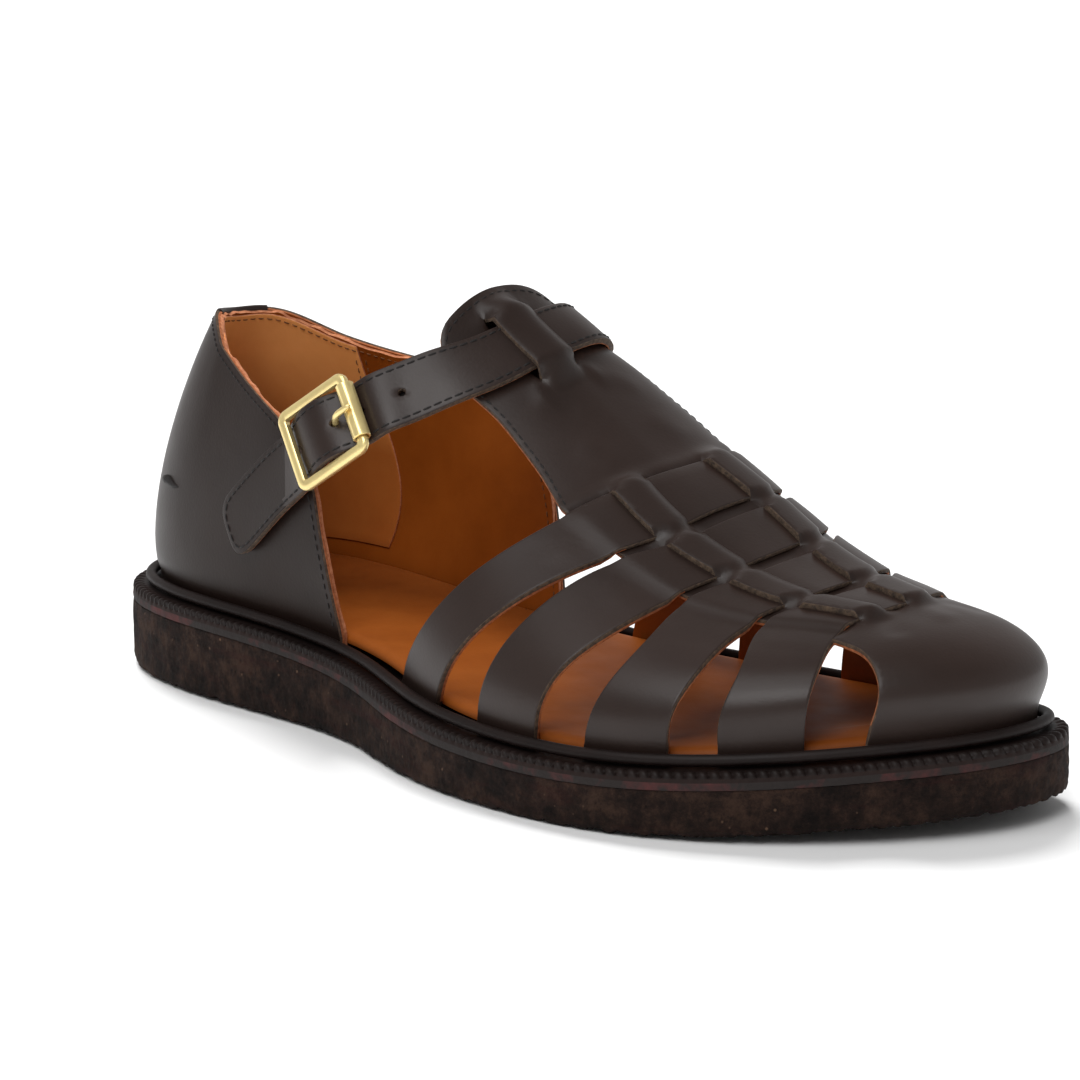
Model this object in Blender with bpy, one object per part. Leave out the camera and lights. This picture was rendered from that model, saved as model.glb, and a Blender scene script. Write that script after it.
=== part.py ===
"""Fisherman sandal, right shoe. Toe +X, outer (lateral) side -Y, inner (medial) side +Y, Z up.

Origin: centre of the sole's plan box, on the floor. Lengths below are millimetres; the meshes are
scaled to metres at the end. Every leather panel is drawn flat in one pattern plane (p, q) and laid
on the last: p runs along the ridge of the last, q is the distance walked round the last from the
ridge, outer side negative. In front of the toe pole and behind the heel pole the plane is polar.
"""
import math

import bpy
import bmesh
import numpy as np
from mathutils import Vector
from mathutils.geometry import delaunay_2d_cdt

MM = 0.001
WALL = 2.2            # leather and lining together
GAP = 0.3             # running gap between pieces
HEEL_POLE = 34.0      # the ridge ends here at the heel
TOE_POLE = 212.0      # and here at the toe
WALL_DEPTH = 4.6      # the leather runs this far below the feather line
WINDOW_DEPTH = 1.5    # and every window this far
MARGIN_IN = 8.5       # the turned-in margin's inner edge, in from the feather line
MARGIN_TOP = 2.4      # its top face, below the feather line

# Feather line: x from the back of the heel, y (outer side negative), heel, outer, toe, inner.
FEATHER = (
    (0.3, 1.9), (4.9, -13.0), (21.3, -24.0), (44.7, -29.0), (75.0, -30.4), (105.0, -34.6),
    (132.0, -44.6), (165.0, -50.0), (196.0, -46.0), (221.0, -31.5), (239.6, -10.8),
    (248.9, 11.0), (245.0, 29.0), (225.0, 36.2), (190.0, 39.0), (160.0, 36.4), (130.0, 30.2),
    (100.0, 25.4), (70.0, 25.3), (40.0, 27.7), (18.0, 25.3), (4.6, 15.5))

# Profiles along the last: station x, then the value there.
STATION = {
    "foot": ((0, 23.3), (60, 23.3), (110, 20.0), (160, 16.9), (215, 18.3), (250, 21.8)),
    "crown": ((-5, 104), (35, 108), (60, 110), (85, 110), (96, 107), (100, 104), (104.6, 99.3),
              (111, 93), (118, 87.9), (125, 83.6), (134, 77.9), (141, 73.8), (150, 68.5),
              (160, 63.2), (172, 57.2), (188, 49.8), (205, 44.8), (223, 43.0), (238, 42.6),
              (252, 41.0)),
    "ridge": ((-5, 1), (35, 1), (60, 1.5), (100, 4), (120, 6.5), (150, 8), (172, 8), (205, 9),
              (223, 10.5), (252, 12)),
    "tilt": ((-5, 0), (35, 0), (100, 0.02), (120, 0.1), (150, 0.1), (172, 0.1), (188, 0.09),
             (205, 0.07), (223, 0.05), (252, 0)),
    "square_out": ((-5, 1.42), (35, 1.5), (55, 1.75), (80, 2.1), (120, 1.85), (150, 1.8),
                   (172, 1.9), (215, 2.4), (252, 2.8)),
    "square_in": ((-5, 1.42), (35, 1.5), (55, 1.8), (80, 2.4), (110, 3.2), (125, 3.4), (150, 3.3),
                  (172, 3.0), (215, 3.1), (252, 3.2)),
    "full_out": ((-5, 3), (20, 3.5), (50, 4.5), (85, 6.8), (120, 4), (150, 3), (172, 3), (215, 3),
                 (252, 4)),
    "full_in": ((-5, 3), (20, 3.5), (50, 4.5), (85, 5), (120, 2), (150, 1), (172, 3), (215, 3),
                (252, 4)),
    "wide_in": ((-5, 0), (50, 0), (85, 1), (120, 7), (150, 6), (172, 2.5), (215, 0), (252, 0)),
}


def profile(rows):
    """A natural cubic spline through the rows, held level past its ends."""
    xs = np.array([r[0] for r in rows], float)
    zs = np.array([r[1] for r in rows], float)
    n = len(xs)
    h = np.diff(xs)
    a = np.zeros((n, n))
    b = np.zeros(n)
    for i in range(1, n - 1):
        a[i, i - 1] = h[i]
        a[i, i] = 2 * (h[i - 1] + h[i])
        a[i, i + 1] = h[i - 1]
        b[i] = 3 * (h[i] * (zs[i] - zs[i - 1]) / h[i - 1] + h[i - 1] * (zs[i + 1] - zs[i]) / h[i])
    a[0, 0] = a[-1, -1] = 1
    b[0] = (zs[1] - zs[0]) / h[0]
    b[-1] = (zs[-1] - zs[-2]) / h[-1]
    m = np.linalg.solve(a, b)

    def value(x):
        x = np.clip(np.asarray(x, float), xs[0], xs[-1])
        i = np.clip(np.searchsorted(xs, x, side="right") - 1, 0, n - 2)
        t = (x - xs[i]) / h[i]
        return ((2 * t ** 3 - 3 * t ** 2 + 1) * zs[i] + (t ** 3 - 2 * t ** 2 + t) * h[i] * m[i]
                + (3 * t ** 2 - 2 * t ** 3) * zs[i + 1] + (t ** 3 - t ** 2) * h[i] * m[i + 1])
    return value


FN = {name: profile(rows) for name, rows in STATION.items()}


def closed_curve(points, count):
    """A closed cubic spline through the points, read at equal steps."""
    p = np.asarray(points, float)
    n = len(p)
    chord = np.linalg.norm(np.roll(p, -1, 0) - p, axis=1)
    a = np.zeros((n, n))
    b = np.zeros((n, 2))
    for i in range(n):
        before = chord[i - 1]
        after = chord[i]
        a[i, i - 1] += after
        a[i, i] += 2 * (before + after)
        a[i, (i + 1) % n] += before
        b[i] = 3 * (after * (p[i] - p[i - 1]) / before + before * (p[(i + 1) % n] - p[i]) / after)
    m = np.linalg.solve(a, b)
    t = np.linspace(0, 1, 60, endpoint=False)[:, None]
    out = []
    for i in range(n):
        j = (i + 1) % n
        out.append((2 * t ** 3 - 3 * t ** 2 + 1) * p[i] + (t ** 3 - 2 * t ** 2 + t) * chord[i] * m[i]
                   + (3 * t ** 2 - 2 * t ** 3) * p[j] + (t ** 3 - t ** 2) * chord[i] * m[j])
    q = np.concatenate(out)
    q = np.vstack([q, q[:1]])
    s = np.concatenate([[0], np.cumsum(np.linalg.norm(np.diff(q, axis=0), axis=1))])
    w = np.linspace(0, s[-1], count, endpoint=False)
    return np.stack([np.interp(w, s, q[:, k]) for k in range(2)], 1), s[-1]


LOOP, ROUND = closed_curve(FEATHER, 2400)
TOE_TIP = int(np.argmax(LOOP[:, 0]))


def feather_at(s):
    """The feather point a distance s from the heel, outer side positive."""
    w = np.asarray(s, float) % ROUND
    grid = np.arange(len(LOOP) + 1) * ROUND / len(LOOP)
    full = np.vstack([LOOP, LOOP[:1]])
    return np.stack([np.interp(w, grid, full[:, k]) for k in range(2)], -1)


def side_y(x, inner):
    """The feather line's y at x, on the inner or the outer side."""
    branch = np.vstack([LOOP[TOE_TIP:], LOOP[:1]])[::-1] if inner else LOOP[:TOE_TIP + 1]
    keep = (branch[:, 0] > 10) & (branch[:, 0] < 238)
    return np.interp(x, branch[keep, 0], branch[keep, 1])


def polar_feather(pole, angle):
    """Where a plan line from a pole meets the feather line."""
    rel = LOOP - pole
    out = []
    for a in angle:
        d = np.array([math.cos(a), math.sin(a)])
        cross = rel[:, 0] * d[1] - rel[:, 1] * d[0]
        hit = np.where((np.sign(cross) != np.sign(np.roll(cross, -1))) & (rel @ d > 0))[0][0]
        nxt = (hit + 1) % len(rel)
        t = cross[hit] / (cross[hit] - cross[nxt])
        out.append(rel[hit] + (rel[nxt] - rel[hit]) * t + pole)
    return np.array(out)


def poles():
    heel = np.array([HEEL_POLE, float(FN["ridge"](HEEL_POLE))])
    toe = np.array([TOE_POLE, float(FN["ridge"](TOE_POLE))])
    return heel, toe


def rays_for(p, q):
    """For pattern points: feather end, ridge end, share of the outer side, distance from ridge."""
    p = np.asarray(p, float)
    q = np.asarray(q, float)
    heel, toe = poles()
    base = np.empty((len(p), 2))
    top = np.empty((len(p), 2))
    outer = np.where(q < 0, 1.0, 0.0)
    rho = np.abs(q)
    mid = (p >= HEEL_POLE) & (p <= TOE_POLE)
    base[mid, 0] = p[mid]
    base[mid, 1] = np.where(q[mid] < 0, side_y(p[mid], False), side_y(p[mid], True))
    top[mid, 0] = p[mid]
    top[mid, 1] = FN["ridge"](p[mid])
    for pole, pick in ((toe, p > TOE_POLE), (heel, p < HEEL_POLE)):
        if not pick.any():
            continue
        ang = np.arctan2(q[pick], p[pick] - pole[0])
        rho[pick] = np.hypot(q[pick], p[pick] - pole[0])
        base[pick] = polar_feather(pole, ang)
        top[pick] = pole
        outer[pick] = 0.5 - 0.5 * np.sin(ang)
    return base, top, outer, rho


def ray_points(base, top, outer, t):
    """Points on the rays (rows) at the ray parameters t (columns), from feather to ridge."""
    base = base[:, None, :]
    d = top[:, None, :] - base
    unit = d / np.linalg.norm(d, axis=-1, keepdims=True)
    lw = outer[:, None]
    x = base[..., 0]
    k = lw * FN["square_out"](x) + (1 - lw) * FN["square_in"](x)
    full = lw * FN["full_out"](x) + (1 - lw) * FN["full_in"](x)
    wide = (1 - lw) * FN["wide_in"](x)
    along = 1 - np.cos(t * np.pi / 2) ** (2 / k)
    rise = np.sin(t * np.pi / 2) ** (2 / k)
    swell = full * 6.75 * t * (1 - t) ** 2 + wide * 4 * t * (1 - t)
    xy = base + d * along[..., None] - unit * swell[..., None]
    foot = FN["foot"](x)
    z = foot + (FN["crown"](xy[..., 0]) - foot) * rise
    z += FN["tilt"](xy[..., 0]) * (xy[..., 1] - FN["ridge"](xy[..., 0])) * rise ** 2
    return np.concatenate([xy, z[..., None]], -1)


RAY_T = np.linspace(0, 1, 121)[None, :]


def on_last(p, q):
    """The last's surface under pattern points; past the feather line the wall runs straight down."""
    base, top, outer, rho = rays_for(p, q)
    pts = ray_points(base, top, outer, np.repeat(RAY_T, len(base), 0))
    seg = np.linalg.norm(np.diff(pts, axis=1), axis=-1)
    walk = np.concatenate([np.zeros((len(pts), 1)), np.cumsum(seg, 1)], 1)
    height = walk[:, -1] - rho
    out = np.empty((len(pts), 3))
    for i in range(len(pts)):
        out[i] = [np.interp(max(height[i], 0.0), walk[i], pts[i, :, k]) for k in range(3)]
    out[:, 2] += np.minimum(height, 0.0)
    return out


def last_normal(p, q):
    """Outward unit normals at pattern points, from small steps in the pattern plane."""
    p = np.asarray(p, float)
    q = np.asarray(q, float)
    e = 0.4
    dp = on_last(p + e, q) - on_last(p - e, q)
    dq = on_last(p, q + e) - on_last(p, q - e)
    n = np.cross(dp, dq)
    return n / np.linalg.norm(n, axis=1)[:, None]


def lay(p, q, lift):
    """Pattern points laid on the last, lifted along the normal."""
    return on_last(p, q) + last_normal(p, q) * np.asarray(lift, float)[:, None]


def from_feather(s, height):
    """Pattern point above the feather point at s (outer side positive), height walked up."""
    f = feather_at(s)
    heel, toe = poles()
    inner = (s % ROUND) > ROUND / 2
    if HEEL_POLE <= f[0] <= TOE_POLE:
        top = np.array([f[0], float(FN["ridge"](f[0]))])
        outer = 0.0 if inner else 1.0
    else:
        top = toe if f[0] > TOE_POLE else heel
        outer = 0.5 - 0.5 * math.sin(math.atan2(f[1] - top[1], f[0] - top[0]))
    pts = ray_points(f[None], top[None], np.array([outer]), RAY_T)[0]
    total = np.linalg.norm(np.diff(pts, axis=0), axis=1).sum()
    rho = total - height
    if HEEL_POLE <= f[0] <= TOE_POLE:
        return (f[0], rho if inner else -rho)
    ang = math.atan2(f[1] - top[1], f[0] - top[0])
    return (top[0] + rho * math.cos(ang), rho * math.sin(ang))

# Cross straps. Each edge: its outer foot's place on the feather line (outer side positive), then
# pattern points down the outer side, over the T-bar, down the inner side, and the inner foot.
EDGES = {
    "strap1_heel": (135, ((134.4, -69.6), (143.3, -53.9), (151.2, -35.0)),
                    ((155.5, -18), (158, 0), (156.5, 16)),
                    ((151.0, 28), (145.5, 37.5), (138.3, 49), (129.5, 65)), -139),
    "strap1_toe": (154, ((144.3, -75.4), (155.1, -57.3), (167.4, -31.5)),
                   ((171, -20.7), (172, 0), (170, 18)),
                   ((164.5, 28.8), (154.2, 44.5), (146, 61)), -155),
    "strap2_heel": (171, ((157.6, -70.8), (163.1, -53), (169.8, -31.5)),
                    ((174, -20.9), (175.5, 0), (173, 18)),
                    ((167.2, 28.8), (159, 42.7), (154, 58)), -168),
    "strap2_toe": (189.5, ((175.9, -64.8), (181.3, -49.5), (186.0, -30)),
                   ((187.8, -19.9), (188.5, 0), (185.5, 17)),
                   ((179.3, 27.4), (173.2, 38), (170, 50)), -186),
    "strap3_heel": (203, ((189.8, -57.6), (190.2, -43.3), (188.8, -30)),
                    ((191, -17.6), (192, 0), (189.5, 16)),
                    ((182.4, 27.4), (181.3, 36), (181, 47)), -197),
    "strap3_toe": (223, ((206.1, -48.7), (204.8, -36), (204.4, -26.6)),
                   ((205.3, -14.9), (205.9, 0), (203.6, 15.5)),
                   ((199, 25.4), (196, 34.1), (195, 43)), -211),
    "strap4_heel": (234, ((214.3, -44), (210, -34), (207.2, -26.6)),
                    ((208.2, -14), (209.4, 0), (207.6, 14)),
                    ((202.0, 25.4), (203.9, 33), (204, 41)), -220),
    "strap4_toe": (252, ((230.4, -38.8), (226.4, -29.5), (222.6, -20.6)),
                   ((221.8, -9), (222.6, 0), (221.2, 12)),
                   ((218.3, 21.3), (219.2, 28), (221.4, 35.2)), -235),
}
# The toe cap's edge in front of the last window, from its upper corner to its foot, each side.
CAP_OUT = (((225.0, -21.4), (229.5, -21.0), (235.4, -22.8), (241.4, -27.0)), 265)
CAP_IN = (((222.2, 20.2), (227.3, 21.4), (232.9, 24.6), (236.4, 30)), -247)
# The T-bar's end and sides above the first strap, outer side to inner side round the tongue.
TONGUE = ((150.5, -30.2), (142, -27.2), (132, -24.8), (122, -23.6), (114, -23.8), (108.6, -23.0),
          (105.4, -20.5), (104.2, -15), (104, -5), (104, 5), (104.6, 13), (106.5, 20), (109.4, 23.6),
          (114, 24.6), (122, 25.0), (132, 25.6), (142, 25.8), (149.0, 26.8))
# The quarters: place on the feather line (outer side positive) and height walked up the last.
TOPLINE = ((104.9, 8), (103.9, 17.7), (102.4, 26), (100.7, 33), (97.4, 38.8), (92.6, 43.2),
           (86, 46.4), (72, 50.7), (56, 56.2), (42, 61.6), (29, 65.1), (15, 66.3), (0, 65.8),
           (-15, 65.5), (-27, 63.6), (-39, 60.2), (-53, 56.2), (-66, 53.7), (-80, 52.5),
           (-91, 52.1), (-99, 50), (-104.5, 44.5), (-108.5, 36.4), (-112, 28.5), (-115.3, 18.5),
           (-118, 8))
QUARTER_FEET = (105.4, -119.6)
# Weave columns by p: the outer loop's sides, the inner loop's sides, the T-bar's sides.
WEAVE = ((150, -18.0, -8.2, 7.2, 16.6, -28.4, 25.6), (172, -20.6, -10.8, 9.4, 19.0, -29.2, 26.4),
         (188, -19.0, -9.6, 7.6, 17.0, -28.0, 25.0), (205, -16.8, -7.8, 4.0, 14.6, -23.4, 22.0),
         (222, -11.8, -4.2, 2.2, 11.4, -15.5, 17.0))
STRAP_LIFT = 1.2      # a strap where it crosses over the T-bar
LOOP_LIFT = 2.5       # a loop of the T-bar over a strap
STEP = 0.5            # a cut edge's width in the relief
BAND_MID = -3.2       # the middle of the instep band
BAND_HALF = 5.4       # its half width
BAND_RISE = ((107.4, 109.6), (124.6, 127.2))    # where it rises and where it comes down
BAND_OUT = 4.8        # its outer face above the last
BAND_IN = 3.3         # its inner face: the ankle strap passes below
SLIT = 1.0            # the slit's width on either side of it
NET = 7.6             # a facet's length in a panel

WEAVE_FN = [profile([(r[0], r[c]) for r in WEAVE]) for c in range(1, 7)]
ROW_FN = {n: profile(sorted([(m[1], m[0]) for m in (e[1][-1],) + e[2] + (e[3][0],)]))
          for n, e in EDGES.items()}


def ramp(x, at, width):
    return np.clip((x - at) / width + 0.5, 0.0, 1.0)


def band_share(p, q):
    up = ramp(p, sum(BAND_RISE[0]) / 2, BAND_RISE[0][1] - BAND_RISE[0][0])
    down = ramp(-p, -sum(BAND_RISE[1]) / 2, BAND_RISE[1][1] - BAND_RISE[1][0])
    return up * down * (np.abs(q - BAND_MID) < BAND_HALF + SLIT / 2)


def outer_lift(p, q):
    """How far the vamp's outer face stands above the last: straps, loops and instep band."""
    l0, l1, m0, m1, t0, t1 = [f(p) for f in WEAVE_FN]
    on_bar = ramp(q, t0 + 1.3, 2.6) * ramp(-q, -t1 + 1.3, 2.6)
    side_l = ramp(q, l0, STEP) * ramp(-q, -l1, STEP)
    side_m = ramp(q, m0, STEP) * ramp(-q, -m1, STEP)
    loops = np.maximum(side_l, side_m) * LOOP_LIFT
    lift = np.zeros(len(p))
    for i in range(1, 5):
        heel = ROW_FN["strap%d_heel" % i](q)
        toe = ROW_FN["strap%d_toe" % i](q)
        strap = ramp(p, heel, STEP) * ramp(-p, -toe, STEP) * on_bar * STRAP_LIFT
        run = ramp(p, heel - 0.1, 2.0) * ramp(-p, -toe - 0.1, 2.0)
        lift = np.maximum(lift, np.maximum(strap, run * loops))
    lift = np.where(p > 140, lift, 0.0)
    return lift + band_share(p, q) * BAND_OUT


def inner_lift(p, q):
    """The inner face: the wall's thickness below the last, but for the raised instep band."""
    return -WALL + band_share(p, q) * (BAND_IN + WALL)


def relief_lines():
    """Pattern lines along every step of the relief."""
    lines = []
    for i in range(1, 5):
        heel = ROW_FN["strap%d_heel" % i]
        toe = ROW_FN["strap%d_toe" % i]
        p_mid = float(heel(0.0) + toe(0.0)) / 2
        l0, l1, m0, m1, t0, t1 = [float(f(p_mid)) for f in WEAVE_FN]
        for lo, hi, heel_off, toe_off in ((t0, t1, -STEP / 2, STEP / 2),
                                          (t0 + 2.6, t1 - 2.6, STEP / 2, -STEP / 2)):
            qs = np.linspace(lo, hi, 8)
            lines.append([(float(heel(q)) + heel_off, q) for q in qs])
            lines.append([(float(toe(q)) + toe_off, q) for q in qs])
            for q in (lo, hi):
                lines.append([(float(heel(q)) + heel_off, q), (float(toe(q)) + toe_off, q)])
        for first, last in ((0, 1), (2, 3)):
            ends = []
            for off in (-1.1, 0.9):
                qs = [float(WEAVE_FN[k](p_mid)) for k in (first, last)]
                ends.append([(float(heel(q)) + off, q) for q in qs])
                ends.append([(float(toe(q)) - off, q) for q in qs])
            lines += ends
            for k, sign in ((first, -1), (last, 1)):
                for off in (-STEP / 2, STEP / 2):
                    q_mid = float(WEAVE_FN[k](p_mid))
                    ps = np.linspace(float(heel(q_mid)) - 1.3, float(toe(q_mid)) + 1.3, 4)
                    lines.append([(p, float(WEAVE_FN[k](p)) + off * sign) for p in ps])
    return lines


def band_lines():
    lines = []
    for p in (BAND_RISE[0][0], BAND_RISE[0][1], BAND_RISE[1][0], BAND_RISE[1][1]):
        lines.append([(p, BAND_MID + BAND_HALF * k) for k in (-1, 0, 1)])
    return lines


def smooth_line(points, step):
    """An open spline through pattern points, read at about equal steps; both ends kept."""
    pts = np.asarray(points, float)
    s = np.concatenate([[0], np.cumsum(np.linalg.norm(np.diff(pts, axis=0), axis=1))])
    fx = profile(list(zip(s, pts[:, 0])))
    fy = profile(list(zip(s, pts[:, 1])))
    w = np.linspace(0, s[-1], max(1, int(round(s[-1] / step))) + 1)
    return [(float(a), float(b)) for a, b in zip(fx(w), fy(w))]


def feather_run(a, b, height, step):
    """Pattern points along the feather line from place a to place b, at a height."""
    n = max(1, int(round(abs(b - a) / step)))
    return [from_feather(s, height) for s in np.linspace(a, b, n + 1)]


def window(first, second, outer):
    """The opening between two strap edges, from the T-bar to just below the feather line."""
    a = EDGES[first]
    b = EDGES[second]
    if outer:
        down = smooth_line(list(a[1])[::-1] + [from_feather(a[0], -WINDOW_DEPTH)], 6.5)
        up = smooth_line([from_feather(b[0], -WINDOW_DEPTH)] + list(b[1]), 6.5)
        foot = feather_run(a[0], b[0], -WINDOW_DEPTH, 6.0)
    else:
        down = smooth_line(list(a[3]) + [from_feather(a[4], -WINDOW_DEPTH)], 6.5)
        up = smooth_line([from_feather(b[4], -WINDOW_DEPTH)] + list(b[3])[::-1], 6.5)
        foot = feather_run(a[4], b[4], -WINDOW_DEPTH, 6.0)
    return down + foot[1:-1] + up


def cap_window(outer):
    """The drop-shaped opening behind the toe cap."""
    edge = EDGES["strap4_toe"]
    if outer:
        down = smooth_line(list(edge[1])[::-1] + [from_feather(edge[0], -WINDOW_DEPTH)], 6.0)
        points, place = CAP_OUT
        foot = feather_run(edge[0], place, -WINDOW_DEPTH, 6.0)
    else:
        down = smooth_line(list(edge[3]) + [from_feather(edge[4], -WINDOW_DEPTH)], 6.0)
        points, place = CAP_IN
        foot = feather_run(edge[4], place, -WINDOW_DEPTH, 6.0)
    up = smooth_line([from_feather(place, -WINDOW_DEPTH)] + list(points)[::-1], 5.0)
    return down + foot[1:-1] + up


def collar():
    """The shoe's mouth: topline, quarter fronts, first strap's heel edge, T-bar and tongue."""
    edge = EDGES["strap1_heel"]
    foot = feather_run(QUARTER_FEET[0], edge[0], -WINDOW_DEPTH, 6.0)
    rise = smooth_line([foot[-1]] + list(edge[1]), 6.5)
    bar = smooth_line(TONGUE, 4.2)
    fall = smooth_line(list(edge[3]) + [from_feather(edge[4], -WINDOW_DEPTH)], 6.5)
    back = feather_run(edge[4], QUARTER_FEET[1], -WINDOW_DEPTH, 6.0)
    top = [from_feather(s, h) for s, h in TOPLINE]
    line = foot[:-1] + rise + bar + fall + back[1:]
    return line + top[::-1]


def slit(sign):
    """The slit along one side of the instep band."""
    near = BAND_MID + BAND_HALF * sign
    far = BAND_MID + (BAND_HALF + SLIT) * sign
    ends = (BAND_RISE[0][0] - 0.5, BAND_RISE[1][1] + 0.5)
    ps = [ends[0], BAND_RISE[0][0], BAND_RISE[0][1], 114.5, 119.5, BAND_RISE[1][0],
          BAND_RISE[1][1], ends[1]]
    return [(p, near) for p in ps] + [(ends[1], far), (119.5, far), (114.5, far), (ends[0], far)]


def inside(point, loop):
    x, y = point
    hit = False
    n = len(loop)
    for i in range(n):
        ax, ay = loop[i]
        bx, by = loop[(i + 1) % n]
        if (ay > y) != (by > y) and x < (bx - ax) * (y - ay) / (by - ay) + ax:
            hit = not hit
    return hit


def distance(point, line, closed):
    """How far a point lies from a line of points."""
    a = np.asarray(line, float)
    b = np.roll(a, -1, 0)
    if not closed:
        a = a[:-1]
        b = b[:-1]
    d = b - a
    t = np.clip(((point - a) * d).sum(1) / np.maximum((d * d).sum(1), 1e-9), 0, 1)
    return float(np.min(np.linalg.norm(a + d * t[:, None] - point, axis=1)))


def triangulate(outline, holes, lines, net):
    """Triangles over a pattern region, with given lines as edges and an even fill of points."""
    verts = []
    edges = []
    for loop in [outline] + holes:
        start = len(verts)
        verts += loop
        edges += [(start + i, start + (i + 1) % len(loop)) for i in range(len(loop))]
    for line in lines:
        start = len(verts)
        verts += line
        edges += [(start + i, start + i + 1) for i in range(len(line) - 1)]
    lo = np.min(outline, axis=0)
    hi = np.max(outline, axis=0)
    for i in range(int((hi[0] - lo[0]) / net) + 2):
        for j in range(int((hi[1] - lo[1]) / (net * 0.87)) + 2):
            pt = np.array([lo[0] + (i + 0.5 * (j % 2)) * net, lo[1] + j * net * 0.87])
            if pt[0] < HEEL_POLE - 4 and (i % 2 or j % 2):
                continue
            if not inside(pt, outline) or any(inside(pt, h) for h in holes):
                continue
            if any(distance(pt, h, True) < net * 0.45 for h in [outline] + holes):
                continue
            if any(distance(pt, ln, False) < net * 0.4 for ln in lines):
                continue
            verts.append((float(pt[0]), float(pt[1])))
    flat, _, faces, source, _, _ = delaunay_2d_cdt([Vector(v) for v in verts], edges, [], 0, 1e-5)
    co = np.array([(v[0], v[1]) for v in flat])
    rim = {}
    for i, given in enumerate(source):
        for g in given:
            rim[g] = i
    keep = []
    for f in faces:
        c = co[list(f)].mean(0)
        if inside(c, outline) and not any(inside(c, h) for h in holes):
            keep.append(tuple(f))
    return co, keep, rim


def turn(a, b, c):
    return (b[0] - a[0]) * (c[1] - a[1]) - (b[1] - a[1]) * (c[0] - a[0])


def panel(outline, holes, outer_lines, inner_lines, net):
    """A closed leather wall: outer face, plainer inner face, and cut edges round every rim."""
    o_co, o_faces, o_of = triangulate(outline, holes, outer_lines, net)
    i_co, i_faces, i_of = triangulate(outline, holes, inner_lines, net * 1.15)
    o_xyz = lay(o_co[:, 0], o_co[:, 1], outer_lift(o_co[:, 0], o_co[:, 1]))
    i_xyz = lay(i_co[:, 0], i_co[:, 1], inner_lift(i_co[:, 0], i_co[:, 1]))
    base = len(o_xyz)
    verts = [tuple(v) for v in o_xyz] + [tuple(v) for v in i_xyz]
    faces = []
    for f in o_faces:
        faces.append(f if turn(*o_co[list(f)]) > 0 else f[::-1])
    for f in i_faces:
        g = tuple(v + base for v in f)
        faces.append(g[::-1] if turn(*i_co[list(f)]) > 0 else g)
    first = 0
    for n, loop in enumerate([outline] + holes):
        area = sum(loop[i][0] * loop[(i + 1) % len(loop)][1]
                   - loop[(i + 1) % len(loop)][0] * loop[i][1] for i in range(len(loop)))
        forward = area > 0 if n == 0 else area < 0
        for i in range(len(loop)):
            a = first + i
            b = first + (i + 1) % len(loop)
            if not forward:
                a, b = b, a
            faces.append((o_of[b], o_of[a], i_of[a] + base))
            faces.append((o_of[b], i_of[a] + base, i_of[b] + base))
        first += len(loop)
    return verts, faces


# ---------------------------------------------------------------- sole, welt, rand, insole
SOLE_OUT = 6.7        # the sole's edge beyond the feather line
WELT_TOP = -3.0       # heights from the feather line
WELT_BOTTOM = -6.6
SOLE_TOP = -6.9
SOLE_STEP = -5.1      # inside the welt the sole stands up to the turned-in margin
RIBS = 104            # ribs round the welt
RIB_DEEP = 0.9
CORD_R = 1.4          # the rand's radius
TREAD = ((-10, 0.0), (180, 0.0), (205, 0.3), (225, 1.6), (245, 3.4), (262, 5.2))


def feather_ring(count, off, seed=0.0):
    """Points at equal steps round the feather line, pushed out by off, and their x there."""
    pts = feather_at(np.arange(count) * ROUND / count + seed)
    d = feather_at(np.arange(count) * ROUND / count + seed + 1.5)
    d -= feather_at(np.arange(count) * ROUND / count + seed - 1.5)
    d /= np.linalg.norm(d, axis=1)[:, None]
    normal = np.stack([d[:, 1], -d[:, 0]], 1)
    if ((pts + normal)[:, 0]).max() < pts[:, 0].max():
        normal = -normal
    return pts + normal * off, pts[:, 0]


def ring_solid(sections, count, closed_section=True):
    """A solid swept round the feather line: sections is a list of (off, height) rings."""
    loops = []
    for off, height in sections:
        xy, x = feather_ring(count, off)
        z = FN["foot"](x) + height
        loops.append(np.column_stack([xy, z]))
    return loft(loops, closed_section)


def loft(loops, wrap):
    """Quads between loops of equal length; wrap joins the last loop to the first."""
    n = len(loops[0])
    verts = [tuple(v) for lp in loops for v in lp]
    faces = []
    m = len(loops)
    for k in range(m if wrap else m - 1):
        a = k * n
        b = ((k + 1) % m) * n
        for i in range(n):
            j = (i + 1) % n
            faces.append((a + i, a + j, b + j, b + i))
    if not wrap:
        faces.append(tuple(range(n))[::-1])
        faces.append(tuple(range((m - 1) * n, m * n)))
    return verts, faces


def outsole():
    tread = profile(TREAD)
    count = 92
    xy, x = feather_ring(count, -16.0)
    loops = [np.column_stack([xy, tread(xy[:, 0])])]
    for off, part in ((5.2, 0.0), (SOLE_OUT + 0.1, 0.09), (SOLE_OUT + 0.1, 0.94),
                      (SOLE_OUT - 0.4, 1.0)):
        xy, x = feather_ring(count, off)
        low = tread(xy[:, 0])
        top = FN["foot"](x) + SOLE_TOP
        loops.append(np.column_stack([xy, low + (top - low) * part]))
    for off, height in ((0.2, SOLE_TOP), (-0.3, SOLE_STEP), (-16.0, SOLE_STEP)):
        xy, x = feather_ring(count, off)
        loops.append(np.column_stack([xy, FN["foot"](x) + height]))
    return capped(loops)


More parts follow.
